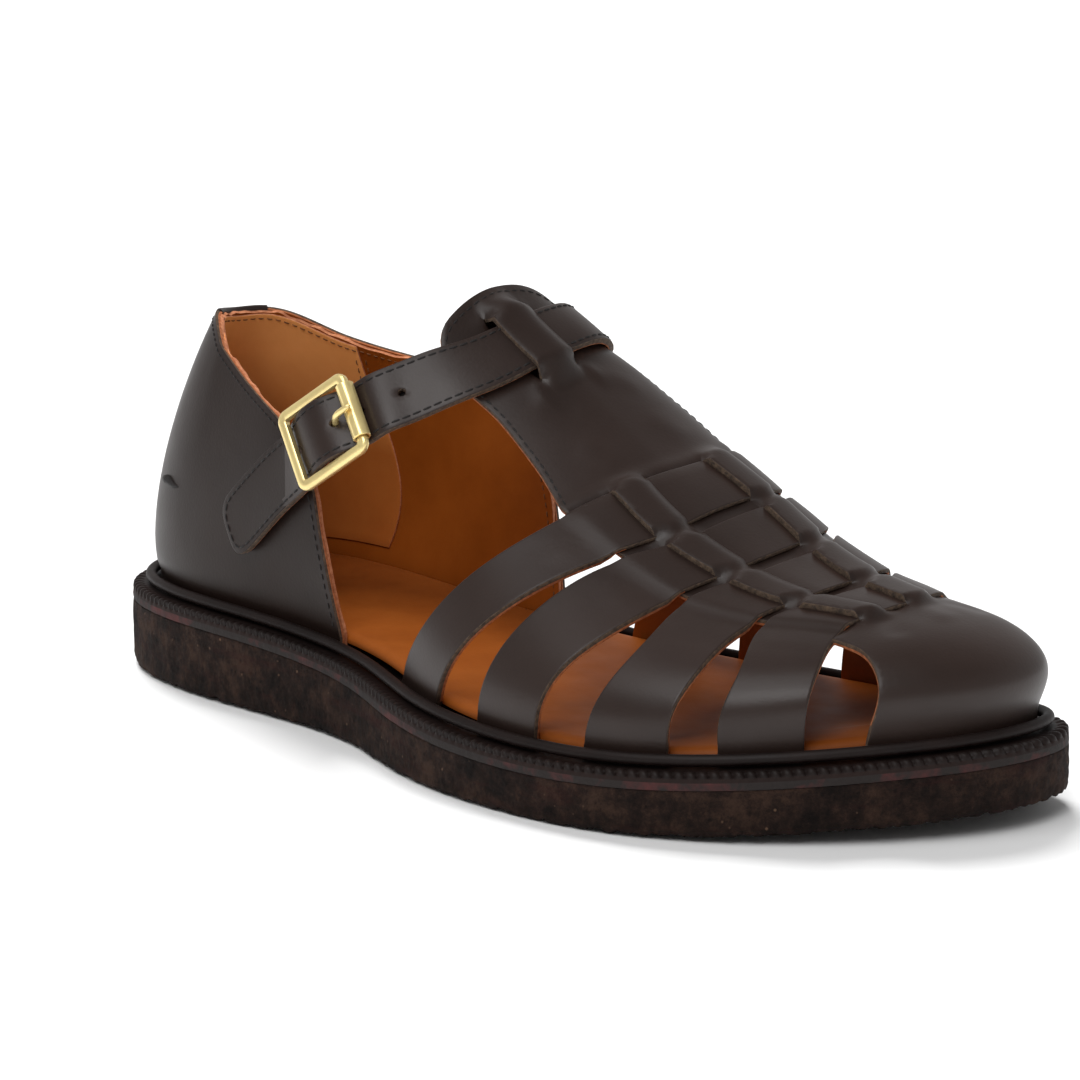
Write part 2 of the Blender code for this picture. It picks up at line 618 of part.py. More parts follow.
def capped(loops):
    """A lofted solid whose end loops are closed by a strip of triangles across the shoe."""
    verts, faces = loft(loops, True)
    n = len(loops[0])
    faces = faces[:(len(loops) - 1) * n]
    for k, flip in ((0, True), (len(loops) - 1, False)):
        x = loops[k][:, 0]
        tip = int(np.argmax(x))
        left = list(range(tip + 1))
        right = [0] + list(range(n - 1, tip - 1, -1))
        i = 0
        j = 0
        while i < len(left) - 1 or j < len(right) - 1:
            go_left = j == len(right) - 1 or (i < len(left) - 1
                                              and x[left[i + 1]] < x[right[j + 1]])
            if go_left:
                tri = (left[i], left[i + 1], right[j])
                i += 1
            else:
                tri = (left[i], right[j + 1], right[j])
                j += 1
            if len(set(tri)) == 3:
                tri = tuple(k * n + v for v in tri)
                faces.append(tri[::-1] if flip else tri)
    return verts, faces


def welt():
    count = RIBS * 2
    loops = []
    for off, height, deep in ((0.6, WELT_BOTTOM, 0), (SOLE_OUT + 0.2, WELT_BOTTOM, 0),
                              (SOLE_OUT + 0.2, -4.2, 1), (SOLE_OUT - 0.6, WELT_TOP, 1),
                              (0.6, WELT_TOP - 0.1, 0)):
        xy, x = feather_ring(count, off)
        rib = np.where(np.arange(count) % 2, RIB_DEEP, 0.0) * deep
        inner, _ = feather_ring(count, off - 1.0)
        xy = xy + (inner - xy) * rib[:, None]
        loops.append(np.column_stack([xy, FN["foot"](x) + height - rib * 0.5]))
    return loft(loops, True)


def rand():
    loops = []
    for k in range(5):
        a = math.radians(72 * k + 90)
        off = 2.5 + CORD_R * math.cos(a)
        height = -1.3 + CORD_R * math.sin(a)
        xy, x = feather_ring(88, off)
        loops.append(np.column_stack([xy, FN["foot"](x) + height]))
    return loft(loops, True)


def insole():
    loops = []
    for off, height in ((-16.0, -4.0), (-9.4, -4.0), (-9.2, -2.0), (-3.0, -2.0), (-3.0, 0.1),
                        (-16.0, 0.1)):
        xy, x = feather_ring(84, off)
        loops.append(np.column_stack([xy, FN["foot"](x) + height]))
    return capped(loops)


def margin():
    return ring_solid(((-MARGIN_IN, -WALL_DEPTH + 0.15), (-0.7, -WALL_DEPTH + 0.15),
                       (-0.7, -MARGIN_TOP), (-MARGIN_IN, -MARGIN_TOP)), 110)


# ---------------------------------------------------------------- ankle strap and buckle
STRAP_HALF = 7.4
STRAP_THICK = 1.8
# Pattern points of the strap's upper and lower side, its underside's lift and half its width,
# from the inner quarter over the T-bar to the outer side; then, past the buckle, the free end.
STRAP_ON = (((71.5, 53.5), (83.5, 63.5), 0.9, 7.4), ((84.0, 44.0), (95.0, 53.0), 0.9, 7.4),
            ((95.2, 34.4), (106.6, 40.6), 0.8, 7.4), ((104.0, 25.2), (116.8, 28.4), 0.85, 7.4),
            ((108.8, 16.0), (122.0, 16.0), 0.75, 7.0), ((110.1, 6.0), (123.4, 6.0), 0.7, 6.8),
            ((110.4, -6.0), (123.9, -6.2), 0.7, 6.8), ((108.6, -16.0), (122.4, -16.8), 0.7, 7.1),
            ((105.0, -25.0), (117.4, -28.6), 0.85, 7.3), ((99.9, -34.6), (111.2, -40.6), 0.9, 7.4))
STRAP_OFF = (((73.3, -62.2), (80.8, -75.0), 3.0, 7.4), ((65.6, -66.2), (73.1, -79.1), 2.8, 7.4),
             ((55.4, -71.2), (62.6, -85.2), 2.6, 7.4))
BUCKLE_AT = (92.2, -57.9)
BUCKLE_TO = (99.8, -48.0)
BUCKLE_LEAN = 0.08    # the roller's side lies closer to the foot
FRAME_LONG = 21.4     # outside sizes, along and across the strap
FRAME_WIDE = 20.6
WIRE = 1.2
FRAME_LIFT = 5.2
BAR_R = 0.9
BAR_LIFT = 2.7
ROLLER_R = 2.1
ROLLER_BORE = 1.6
ROLLER_HALF = 6.9
PRONG_R = 0.75
CHAPE_THICK = 0.9
CHAPE_HALF = 6.4
# The strap's underside past the buckle: distance along it from the centre bar, lift there.
STRAP_BUCKLE = ((12.6, 0.9), (8.8, 1.0), (4.6, 3.4), (0.0, 5.35), (-4.6, 4.3), (-8.6, 1.75),
                (-12.4, 1.7))


def buckle_axes():
    """The buckle's own axes: along the strap to the instep, across it, and out of the shoe."""
    p = np.array([BUCKLE_AT[0], BUCKLE_TO[0]])
    q = np.array([BUCKLE_AT[1], BUCKLE_TO[1]])
    at = on_last(p, q)
    n = last_normal(p, q)[0]
    u = at[1] - at[0]
    u -= n * (u @ n)
    u /= np.linalg.norm(u)
    n = n + u * BUCKLE_LEAN
    n /= np.linalg.norm(n)
    u -= n * (u @ n)
    u /= np.linalg.norm(u)
    return at[0], u, np.cross(n, u), n


ORIGIN, ALONG, ACROSS, OUT = buckle_axes()


def at_buckle(u, v, w):
    return ORIGIN + ALONG * u + ACROSS * v + OUT * w


def strap_pair(a, b, lift, half):
    """The strap's two sides at one place on the last, half a width either side of its middle."""
    pair = lay([a[0], b[0]], [a[1], b[1]], [lift, lift])
    middle = pair.mean(0)
    across = (pair[1] - pair[0]) / np.linalg.norm(pair[1] - pair[0])
    return middle - across * half, middle + across * half


def grid_solid(low, high, skip):
    """A closed sheet from two grids of points, without the cells in skip."""
    rows, cols = low.shape[:2]
    verts = [tuple(v) for v in low.reshape(-1, 3)] + [tuple(v) for v in high.reshape(-1, 3)]
    half = rows * cols
    cells = {(i, j) for i in range(rows - 1) for j in range(cols - 1)} - set(skip)
    faces = []
    for i, j in sorted(cells):
        a = i * cols + j
        b = a + 1
        c = a + cols + 1
        d = a + cols
        faces.append((a, b, c, d))
        faces.append((a + half, d + half, c + half, b + half))
        for (x, y), near in (((a, b), (i - 1, j)), ((b, c), (i, j + 1)), ((c, d), (i + 1, j)),
                             ((d, a), (i, j - 1))):
            if near not in cells:
                faces.append((y, x, x + half, y + half))
    used = sorted({v for f in faces for v in f})
    at = {v: k for k, v in enumerate(used)}
    return [verts[v] for v in used], [tuple(at[v] for v in f) for f in faces]


def ankle_strap():
    upper = []
    lower = []
    for a, b, lift, half in STRAP_ON:
        pair = strap_pair(a, b, lift, half)
        upper.append(pair[0])
        lower.append(pair[1])
    for u, w in STRAP_BUCKLE:
        upper.append(at_buckle(u, STRAP_HALF, w))
        lower.append(at_buckle(u, -STRAP_HALF, w))
    for a, b, lift, half in STRAP_OFF:
        pair = strap_pair(a, b, lift, half)
        upper.append(pair[0])
        lower.append(pair[1])
    if (lower[12] - upper[12]) @ (lower[0] - upper[0]) < 0:
        for k in range(len(STRAP_ON), len(STRAP_ON) + len(STRAP_BUCKLE)):
            upper[k], lower[k] = lower[k], upper[k]
    up = np.asarray(upper)
    lo = np.asarray(lower)
    mid = (up + lo) / 2
    s = np.concatenate([[0], np.cumsum(np.linalg.norm(np.diff(mid, axis=0), axis=1))])
    fu = [profile(list(zip(s, up[:, k]))) for k in range(3)]
    fl = [profile(list(zip(s, lo[:, k]))) for k in range(3)]
    bar = s[len(STRAP_ON) + 3]
    stops = [bar - 12, bar - 9.4, bar - 6.8, bar - 4.6, bar - 2.4, bar + 0.4, bar + 3.4, bar + 6,
             bar + 8.4, bar + 11.2]
    first = list(np.linspace(0, bar - 14.5, 24))
    after = list(np.linspace(bar + 15.5, s[-1], 7))
    w = np.array(first + stops + after)
    top = np.stack([f(w) for f in fu], 1)
    bot = np.stack([f(w) for f in fl], 1)
    shares = np.array([0.0, 0.37, 0.63, 1.0])
    low = top[:, None] + (bot - top)[:, None] * shares[None, :, None]
    run = np.gradient((top + bot) / 2, axis=0)
    normal = np.cross(bot - top, run)
    normal /= np.linalg.norm(normal, axis=1)[:, None]
    if normal[10] @ (low[10, 1] - np.array([110.0, 5.0, 60.0])) < 0:
        normal = -normal
    tip = low[-1, 1:3].mean(0) + run[-1] / np.linalg.norm(run[-1]) * 4.5
    low[-1, 1] += (tip - low[-1, 1:3].mean(0))
    low[-1, 2] += (tip - low[-1, 1:3].mean(0)) * 0 + run[-1] / np.linalg.norm(run[-1]) * 4.5
    high = low + normal[:, None] * STRAP_THICK
    hole = len(first) + 2
    verts, faces = grid_solid(low, high, [(hole, 1), (hole + 1, 1)])
    return verts, faces


def tube(path, radius, sides, closed, flat=None):
    """A round rod along a path of points."""
    pts = np.asarray(path, float)
    n = len(pts)
    loops = []
    ref = None
    for i in range(n):
        if closed:
            d = pts[(i + 1) % n] - pts[i - 1]
        else:
            d = pts[min(i + 1, n - 1)] - pts[max(i - 1, 0)]
        d /= np.linalg.norm(d)
        if flat is not None:
            side = np.asarray(flat, float)
        elif ref is None:
            side = np.cross(d, [0.3, 0.5, 0.81])
        else:
            side = ref
        side = side - d * (side @ d)
        side /= np.linalg.norm(side)
        ref = side
        other = np.cross(d, side)
        a = (np.arange(sides) + 0.5) * 2 * math.pi / sides
        loops.append(pts[i] + radius * (np.cos(a)[:, None] * side + np.sin(a)[:, None] * other))
    return loft(loops, closed)


def buckle_frame():
    half_u = FRAME_LONG / 2 - WIRE
    half_v = FRAME_WIDE / 2 - WIRE
    r = 2.4
    path = []
    for cu, cv, start in ((1, 1, 0), (-1, 1, 90), (-1, -1, 180), (1, -1, 270)):
        for k in range(4):
            a = math.radians(start + 30 * k)
            path.append(at_buckle(cu * (half_u - r) + r * math.cos(a),
                                  cv * (half_v - r) + r * math.sin(a), FRAME_LIFT))
    ring = tube(path, WIRE, 8, True, OUT)
    bar = [at_buckle(0, v, w) for v, w in (
        (-half_v, FRAME_LIFT), (-half_v + 0.1, 4.2), (-half_v + 0.9, 3.1), (-half_v + 1.7, BAR_LIFT),
        (half_v - 1.7, BAR_LIFT), (half_v - 0.9, 3.1), (half_v - 0.1, 4.2), (half_v, FRAME_LIFT))]
    return ring, tube(bar, BAR_R, 8, False, ALONG)


def buckle_roller():
    u = FRAME_LONG / 2 - WIRE
    loops = []
    for v, r in ((-ROLLER_HALF, ROLLER_BORE), (-ROLLER_HALF, ROLLER_R), (ROLLER_HALF, ROLLER_R),
                 (ROLLER_HALF, ROLLER_BORE)):
        a = (np.arange(12) + 0.5) * 2 * math.pi / 12
        loops.append(np.array([at_buckle(u + r * math.cos(t), v, FRAME_LIFT + r * math.sin(t))
                               for t in a]))
    return loft(loops, True)


def buckle_prong():
    turn_r = BAR_R + 0.4 + PRONG_R
    path = [(turn_r * math.cos(math.radians(a)), BAR_LIFT + turn_r * math.sin(math.radians(a)))
            for a in (160, 195, 230, 270, 310, 345)]
    rest = FRAME_LIFT + ROLLER_R + 0.3 + PRONG_R
    path += [(2.35, 3.3), (3.3, 4.5), (4.5, 5.9), (5.6, 7.1), (6.8, 8.0), (8.3, rest), (11.4, rest)]
    return tube([at_buckle(u, 0, w) for u, w in path], PRONG_R, 6, False, ACROSS)


def buckle_tab():
    """The tab that holds the centre bar: laid on the quarter, turned round the bar and back."""
    ring = BAR_R + 0.35
    low = []
    high = []
    halves = np.array([-CHAPE_HALF, -1.6, 1.6, CHAPE_HALF])
    tail = (((72.9, -62.4), (79.7, -73.2), 0.4), ((77.0, -59.9), (83.8, -70.7), 0.5))
    for a, b, lift in tail:
        shares = np.array([0.0, 0.37, 0.63, 1.0])
        ps = b[0] + (a[0] - b[0]) * shares
        qs = b[1] + (a[1] - b[1]) * shares
        low.append(lay(ps, qs, np.full(4, lift)))
        high.append(lay(ps, qs, np.full(4, lift + CHAPE_THICK)))
    section = [((-6.5, 0.5), (-6.5, 1.4)), ((-3.6, 0.45), (-3.4, 1.35))]
    for deg in (-110, -70, -30, 10, 50, 90, 125):
        c = math.cos(math.radians(deg))
        s = math.sin(math.radians(deg))
        out = ring + CHAPE_THICK
        section.append(((out * c, BAR_LIFT + out * s), (ring * c, BAR_LIFT + ring * s)))
    section.append(((-4.4, 2.75), (-4.1, 1.85)))
    for a, b in section:
        low.append(np.array([at_buckle(a[0], v, a[1]) for v in halves]))
        high.append(np.array([at_buckle(b[0], v, b[1]) for v in halves]))
    low = np.array(low)
    high = np.array(high)
    skip = [(i, 1) for i in range(3, 11)]
    return grid_solid(low, high, skip)


# ---------------------------------------------------------------- objects
def material(name, colour, rough, metal=0.0):
    m = bpy.data.materials.new(name)
    m.use_nodes = True
    b = m.node_tree.nodes["Principled BSDF"]
    b.inputs["Base Color"].default_value = (*colour, 1.0)
    b.inputs["Roughness"].default_value = rough
    b.inputs["Metallic"].default_value = metal
    m.diffuse_color = (*colour, 1.0)
    return m


def plan_centre():
    edge, _ = feather_ring(240, SOLE_OUT + 0.25)
    return (edge.min(0) + edge.max(0)) / 2


CENTRE = plan_centre()


def thing(name, verts, faces, mat):
    v = np.asarray(verts, float)
    v[:, 0] -= CENTRE[0]
    v[:, 1] -= CENTRE[1]
    mesh = bpy.data.meshes.new(name)
    mesh.from_pydata([tuple(c) for c in v * MM], [], faces)
    bm = bmesh.new()
    bm.from_mesh(mesh)
    bmesh.ops.recalc_face_normals(bm, faces=bm.faces)
    if bm.calc_volume(signed=True) < 0:
        bmesh.ops.reverse_faces(bm, faces=bm.faces)
    bm.to_mesh(mesh)
    bm.free()
    mesh.materials.append(mat)
    obj = bpy.data.objects.new(name, mesh)
    bpy.context.scene.collection.objects.link(obj)
    return obj


def join_to(obj, other):
    """Unites other with obj and hides other."""
    mod = obj.modifiers.new("Join", "BOOLEAN")
    mod.operation = "UNION"
    mod.solver = "EXACT"
    mod.object = other
    other.hide_render = True
    other.display_type = "WIRE"


def build():
    for obj in list(bpy.data.objects):
        bpy.data.objects.remove(obj, do_unlink=True)
    crepe = material("crepe_rubber", (0.034, 0.018, 0.015), 0.85)
    welt_rubber = material("welt_rubber", (0.022, 0.015, 0.013), 0.6)
    leather = material("dark_leather", (0.045, 0.030, 0.026), 0.42)
    tan = material("tan_leather", (0.42, 0.16, 0.05), 0.55)
    brass = material("brass", (0.80, 0.60, 0.26), 0.25, 1.0)

    outline = feather_run(0, ROUND - ROUND / 110, -WALL_DEPTH, ROUND / 110)
    holes = [collar(), slit(1), slit(-1), cap_window(True), cap_window(False)]
    for a, b in (("strap1_toe", "strap2_heel"), ("strap2_toe", "strap3_heel"),
                 ("strap3_toe", "strap4_heel")):
        holes.append(window(a, b, True))
        holes.append(window(a, b, False))
    wall = panel(outline, holes, relief_lines() + band_lines(), band_lines(), NET)
    upper = thing("upper", *wall, leather)
    tucked = thing("upper_margin_cutter", *margin(), leather)
    join_to(upper, tucked)

    thing("outsole", *outsole(), crepe)
    thing("welt", *welt(), welt_rubber)
    thing("rand", *rand(), welt_rubber)
    thing("insole", *insole(), tan)
    thing("ankle_strap", *ankle_strap(), leather)
    ring, bar = buckle_frame()
    frame = thing("buckle_frame", *ring, brass)
    cross = thing("buckle_bar_cutter", *bar, brass)
    join_to(frame, cross)
    thing("buckle_roller", *buckle_roller(), brass)
    thing("buckle_prong", *buckle_prong(), brass)
    thing("buckle_tab", *buckle_tab(), leather)


build()
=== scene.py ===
"""Fisherman sandal: the dressed model. Lengths are millimetres on the last, put in the part's
frame and scaled to metres when a mesh is made."""
import math

import bmesh
import bpy
import numpy as np
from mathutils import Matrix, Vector, noise
from mathutils.geometry import delaunay_2d_cdt


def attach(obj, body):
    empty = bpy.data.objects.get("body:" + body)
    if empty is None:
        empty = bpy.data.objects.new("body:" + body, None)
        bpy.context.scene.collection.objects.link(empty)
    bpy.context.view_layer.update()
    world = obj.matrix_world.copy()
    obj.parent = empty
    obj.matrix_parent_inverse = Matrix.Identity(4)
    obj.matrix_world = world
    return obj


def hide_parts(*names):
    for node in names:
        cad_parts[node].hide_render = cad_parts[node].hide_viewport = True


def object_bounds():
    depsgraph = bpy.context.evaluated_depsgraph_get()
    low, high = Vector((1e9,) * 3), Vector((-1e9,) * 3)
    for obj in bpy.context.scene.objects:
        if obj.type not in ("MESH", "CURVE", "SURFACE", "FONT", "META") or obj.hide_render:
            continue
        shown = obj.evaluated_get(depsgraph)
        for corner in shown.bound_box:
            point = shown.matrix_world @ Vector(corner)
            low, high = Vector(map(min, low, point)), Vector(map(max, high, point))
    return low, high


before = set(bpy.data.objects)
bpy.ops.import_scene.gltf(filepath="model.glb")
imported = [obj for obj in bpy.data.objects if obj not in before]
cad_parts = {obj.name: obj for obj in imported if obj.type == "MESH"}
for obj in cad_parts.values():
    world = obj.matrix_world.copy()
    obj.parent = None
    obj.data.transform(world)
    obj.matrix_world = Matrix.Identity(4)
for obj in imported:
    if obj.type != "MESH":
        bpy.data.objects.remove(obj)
CAD_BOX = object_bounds()
MM = 0.001

# ------------------------------------------------------------------ the last
HEEL_POLE = 34.0      # the ridge ends here at the heel
TOE_POLE = 212.0      # and here at the toe
TUCK = -3.0           # the upper's pieces run this far in under the feather line
DARK_EDGE = 0.42      # a cut edge is dark above this share of the leather's thickness

# Feather line: x from the back of the heel, y (outer side negative), heel, outer, toe, inner.
FEATHER = (
    (0.3, 1.9), (4.9, -13.0), (21.3, -24.0), (44.7, -29.0), (75.0, -30.4), (105.0, -34.6),
    (132.0, -44.6), (165.0, -50.0), (196.0, -46.0), (221.0, -31.5), (239.6, -10.8),
    (248.9, 11.0), (245.0, 29.0), (225.0, 36.2), (190.0, 39.0), (160.0, 36.4), (130.0, 30.2),
    (100.0, 25.4), (70.0, 25.3), (40.0, 27.7), (18.0, 25.3), (4.6, 15.5))

# Profiles along the last: station x, then the value there.
STATION = {
    "foot": ((0, 23.3), (60, 23.3), (110, 20.0), (160, 16.9), (215, 18.3), (250, 21.8)),
    "crown": ((-5, 104), (35, 108), (60, 110), (85, 110), (96, 107), (100, 104), (104.6, 99.3),
              (111, 93), (118, 87.9), (125, 83.6), (134, 77.9), (141, 73.8), (150, 68.5),
              (160, 63.2), (172, 57.2), (188, 49.8), (205, 44.8), (223, 43.0), (238, 42.6),
              (252, 41.0)),
    "ridge": ((-5, 1), (35, 1), (60, 1.5), (100, 4), (120, 6.5), (150, 8), (172, 8), (205, 9),
              (223, 10.5), (252, 12)),
    "tilt": ((-5, 0), (35, 0), (100, 0.02), (120, 0.1), (150, 0.1), (172, 0.1), (188, 0.09),
             (205, 0.07), (223, 0.05), (252, 0)),
    "square_out": ((-5, 1.42), (35, 1.5), (55, 1.75), (80, 2.1), (120, 1.85), (150, 1.8),
                   (172, 1.9), (215, 2.4), (252, 2.8)),
    "square_in": ((-5, 1.42), (35, 1.5), (55, 1.8), (80, 2.4), (110, 3.2), (125, 3.4), (150, 3.3),
                  (172, 3.0), (215, 3.1), (252, 3.2)),
    "full_out": ((-5, 3), (20, 3.5), (50, 4.5), (85, 6.8), (120, 4), (150, 3), (172, 3), (215, 3),
                 (252, 4)),
    "full_in": ((-5, 3), (20, 3.5), (50, 4.5), (85, 5), (120, 2), (150, 1), (172, 3), (215, 3),
                (252, 4)),
    "wide_in": ((-5, 0), (50, 0), (85, 1), (120, 7), (150, 6), (172, 2.5), (215, 0), (252, 0)),
}


def hermite(t, h, z0, z1, m0, m1):
    """A cubic from z0 to z1 over a length h, with slopes m0 and m1, at the share t."""
    return ((2 * t ** 3 - 3 * t ** 2 + 1) * z0 + (t ** 3 - 2 * t ** 2 + t) * h * m0
            + (3 * t ** 2 - 2 * t ** 3) * z1 + (t ** 3 - t ** 2) * h * m1)


def profile(rows):
    """A natural cubic spline through the rows, held level past its ends."""
    xs = np.array([r[0] for r in rows], float)
    zs = np.array([r[1] for r in rows], float)
    n = len(xs)
    h = np.diff(xs)
    a = np.zeros((n, n))
    b = np.zeros(n)
    for i in range(1, n - 1):
        a[i, i - 1:i + 2] = h[i], 2 * (h[i - 1] + h[i]), h[i - 1]
        b[i] = 3 * (h[i] * (zs[i] - zs[i - 1]) / h[i - 1] + h[i - 1] * (zs[i + 1] - zs[i]) / h[i])
    a[0, 0] = a[-1, -1] = 1
    b[0] = (zs[1] - zs[0]) / h[0]
    b[-1] = (zs[-1] - zs[-2]) / h[-1]
    m = np.linalg.solve(a, b)

    def value(x):
        x = np.clip(np.asarray(x, float), xs[0], xs[-1])
        i = np.clip(np.searchsorted(xs, x, side="right") - 1, 0, n - 2)
        return hermite((x - xs[i]) / h[i], h[i], zs[i], zs[i + 1], m[i], m[i + 1])
    return value


def walked(pts):
    """The distance walked along a line of points, at each of them."""
    return np.concatenate([[0], np.cumsum(np.linalg.norm(np.diff(pts, axis=0), axis=1))])


def along(w, s, pts):
    """Points at the distances w on a line whose points lie at the distances s."""
    return np.stack([np.interp(w, s, col) for col in pts.T], -1)


def unit(d):
    return d / np.linalg.norm(d, axis=-1, keepdims=True)


FN = {name: profile(rows) for name, rows in STATION.items()}


def closed_curve(points, count):
    """A closed cubic spline through the points, read at equal steps, and its length."""
    p = np.asarray(points, float)
    n = len(p)
    chord = np.linalg.norm(np.roll(p, -1, 0) - p, axis=1)
    a = np.zeros((n, n))
    b = np.zeros((n, 2))
    for i in range(n):
        before, after, j = chord[i - 1], chord[i], (i + 1) % n
        a[i, [i - 1, i, j]] = after, 2 * (before + after), before
        b[i] = 3 * (after * (p[i] - p[i - 1]) / before + before * (p[j] - p[i]) / after)
    m = np.linalg.solve(a, b)
    t = np.linspace(0, 1, 60, endpoint=False)[:, None]
    q = np.concatenate([hermite(t, chord[i - 1], p[i - 1], p[i % n], m[i - 1], m[i % n])
                        for i in range(1, n + 1)])
    q = np.vstack([q, q[:1]])
    s = walked(q)
    return along(np.linspace(0, s[-1], count, endpoint=False), s, q), s[-1]


LOOP, ROUND = closed_curve(FEATHER, 2400)
TOE_TIP = int(np.argmax(LOOP[:, 0]))


def feather_at(s):
    """The feather point a distance s from the heel, outer side positive."""
    grid = np.arange(len(LOOP) + 1) * ROUND / len(LOOP)
    return along(np.asarray(s, float) % ROUND, grid, np.vstack([LOOP, LOOP[:1]]))


def side_y(x, inner):
    """The feather line's y at x, on the inner or the outer side."""
    branch = np.vstack([LOOP[TOE_TIP:], LOOP[:1]])[::-1] if inner else LOOP[:TOE_TIP + 1]
    keep = (branch[:, 0] > 10) & (branch[:, 0] < 238)
    return np.interp(x, branch[keep, 0], branch[keep, 1])


def polar_feather(pole, angle):
    """Where a plan line from a pole meets the feather line."""
    rel = LOOP - pole
    out = []
    for a in angle:
        d = np.array([math.cos(a), math.sin(a)])
        cross = rel[:, 0] * d[1] - rel[:, 1] * d[0]
        hit = np.where((np.sign(cross) != np.sign(np.roll(cross, -1))) & (rel @ d > 0))[0][0]
        nxt = (hit + 1) % len(rel)
        t = cross[hit] / (cross[hit] - cross[nxt])
        out.append(rel[hit] + (rel[nxt] - rel[hit]) * t + pole)
    return np.array(out)


HEEL, TOE = [np.array([x, float(FN["ridge"](x))]) for x in (HEEL_POLE, TOE_POLE)]


def rays_for(p, q):
    """For pattern points: feather end, ridge end, share of the outer side, distance from ridge."""
    p = np.asarray(p, float)
    q = np.asarray(q, float)
    base = np.empty((len(p), 2))
    top = np.empty((len(p), 2))
    outer = np.where(q < 0, 1.0, 0.0)
    rho = np.abs(q)
    mid = (p >= HEEL_POLE) & (p <= TOE_POLE)
    base[mid, 0] = top[mid, 0] = x = p[mid]
    base[mid, 1] = np.where(q[mid] < 0, side_y(x, False), side_y(x, True))
    top[mid, 1] = FN["ridge"](x)
    for pole, pick in ((TOE, p > TOE_POLE), (HEEL, p < HEEL_POLE)):
        if pick.any():
            ang = np.arctan2(q[pick], p[pick] - pole[0])
            rho[pick] = np.hypot(q[pick], p[pick] - pole[0])
            base[pick] = polar_feather(pole, ang)
            top[pick] = pole
            outer[pick] = 0.5 - 0.5 * np.sin(ang)
    return base, top, outer, rho


def ray_points(base, top, outer, t):
    """Points on the rays (rows) at the ray parameters t (columns), from feather to ridge."""
    base = base[:, None, :]
    d = top[:, None, :] - base
    x = base[..., 0]
    lw = outer[:, None]
    k, full = [lw * FN[name + "_out"](x) + (1 - lw) * FN[name + "_in"](x)
               for name in ("square", "full")]
    wide = (1 - lw) * FN["wide_in"](x)
    share = 1 - np.cos(t * np.pi / 2) ** (2 / k)
    rise = np.sin(t * np.pi / 2) ** (2 / k)
    # Each swell's polynomial is scaled so that its highest value is 1.
    swell = full * 6.75 * t * (1 - t) ** 2 + wide * 4 * t * (1 - t)
    xy = base + d * share[..., None] - unit(d) * swell[..., None]
    foot = FN["foot"](x)
    z = foot + (FN["crown"](xy[..., 0]) - foot) * rise
    z += FN["tilt"](xy[..., 0]) * (xy[..., 1] - FN["ridge"](xy[..., 0])) * rise ** 2
    return np.concatenate([xy, z[..., None]], -1)


RAY_T = np.linspace(0, 1, 121)[None, :]


def on_last(p, q):
    """The last's surface under pattern points; past the feather line the wall runs straight down."""
    base, top, outer, rho = rays_for(p, q)
    pts = ray_points(base, top, outer, np.repeat(RAY_T, len(base), 0))
    walk = [walked(line) for line in pts]
    height = np.array([w[-1] for w in walk]) - rho
    out = np.array([along(max(h, 0.0), w, line) for h, w, line in zip(height, walk, pts)])
    out[:, 2] += np.minimum(height, 0.0)
    return out


def last_normal(p, q):
    """Outward unit normals at pattern points, from small steps in the pattern plane."""
    p = np.asarray(p, float)
    q = np.asarray(q, float)
    e = 0.4    # the steps' half length
    return unit(np.cross(on_last(p + e, q) - on_last(p - e, q),
                         on_last(p, q + e) - on_last(p, q - e)))


def laid_line(pts, lift):
    """Pattern points laid on the last, lifted along the normal, and their normals."""
    n = last_normal(*pts.T)
    return on_last(*pts.T) + n * np.broadcast_to(lift, len(pts))[:, None], n


def from_feather(s, height):
    """Pattern point above the feather point at s (outer side positive), height walked up."""
    f = feather_at(s)
    inner = (s % ROUND) > ROUND / 2
    at_side = HEEL_POLE <= f[0] <= TOE_POLE
    if at_side:
        top = np.array([f[0], float(FN["ridge"](f[0]))])
        outer = 0.0 if inner else 1.0
    else:
        top = TOE if f[0] > TOE_POLE else HEEL
        ang = math.atan2(f[1] - top[1], f[0] - top[0])
        outer = 0.5 - 0.5 * math.sin(ang)
    rho = walked(ray_points(f[None], top[None], np.array([outer]), RAY_T)[0])[-1] - height
    if at_side:
        return (f[0], rho if inner else -rho)
    return (top[0] + rho * math.cos(ang), rho * math.sin(ang))


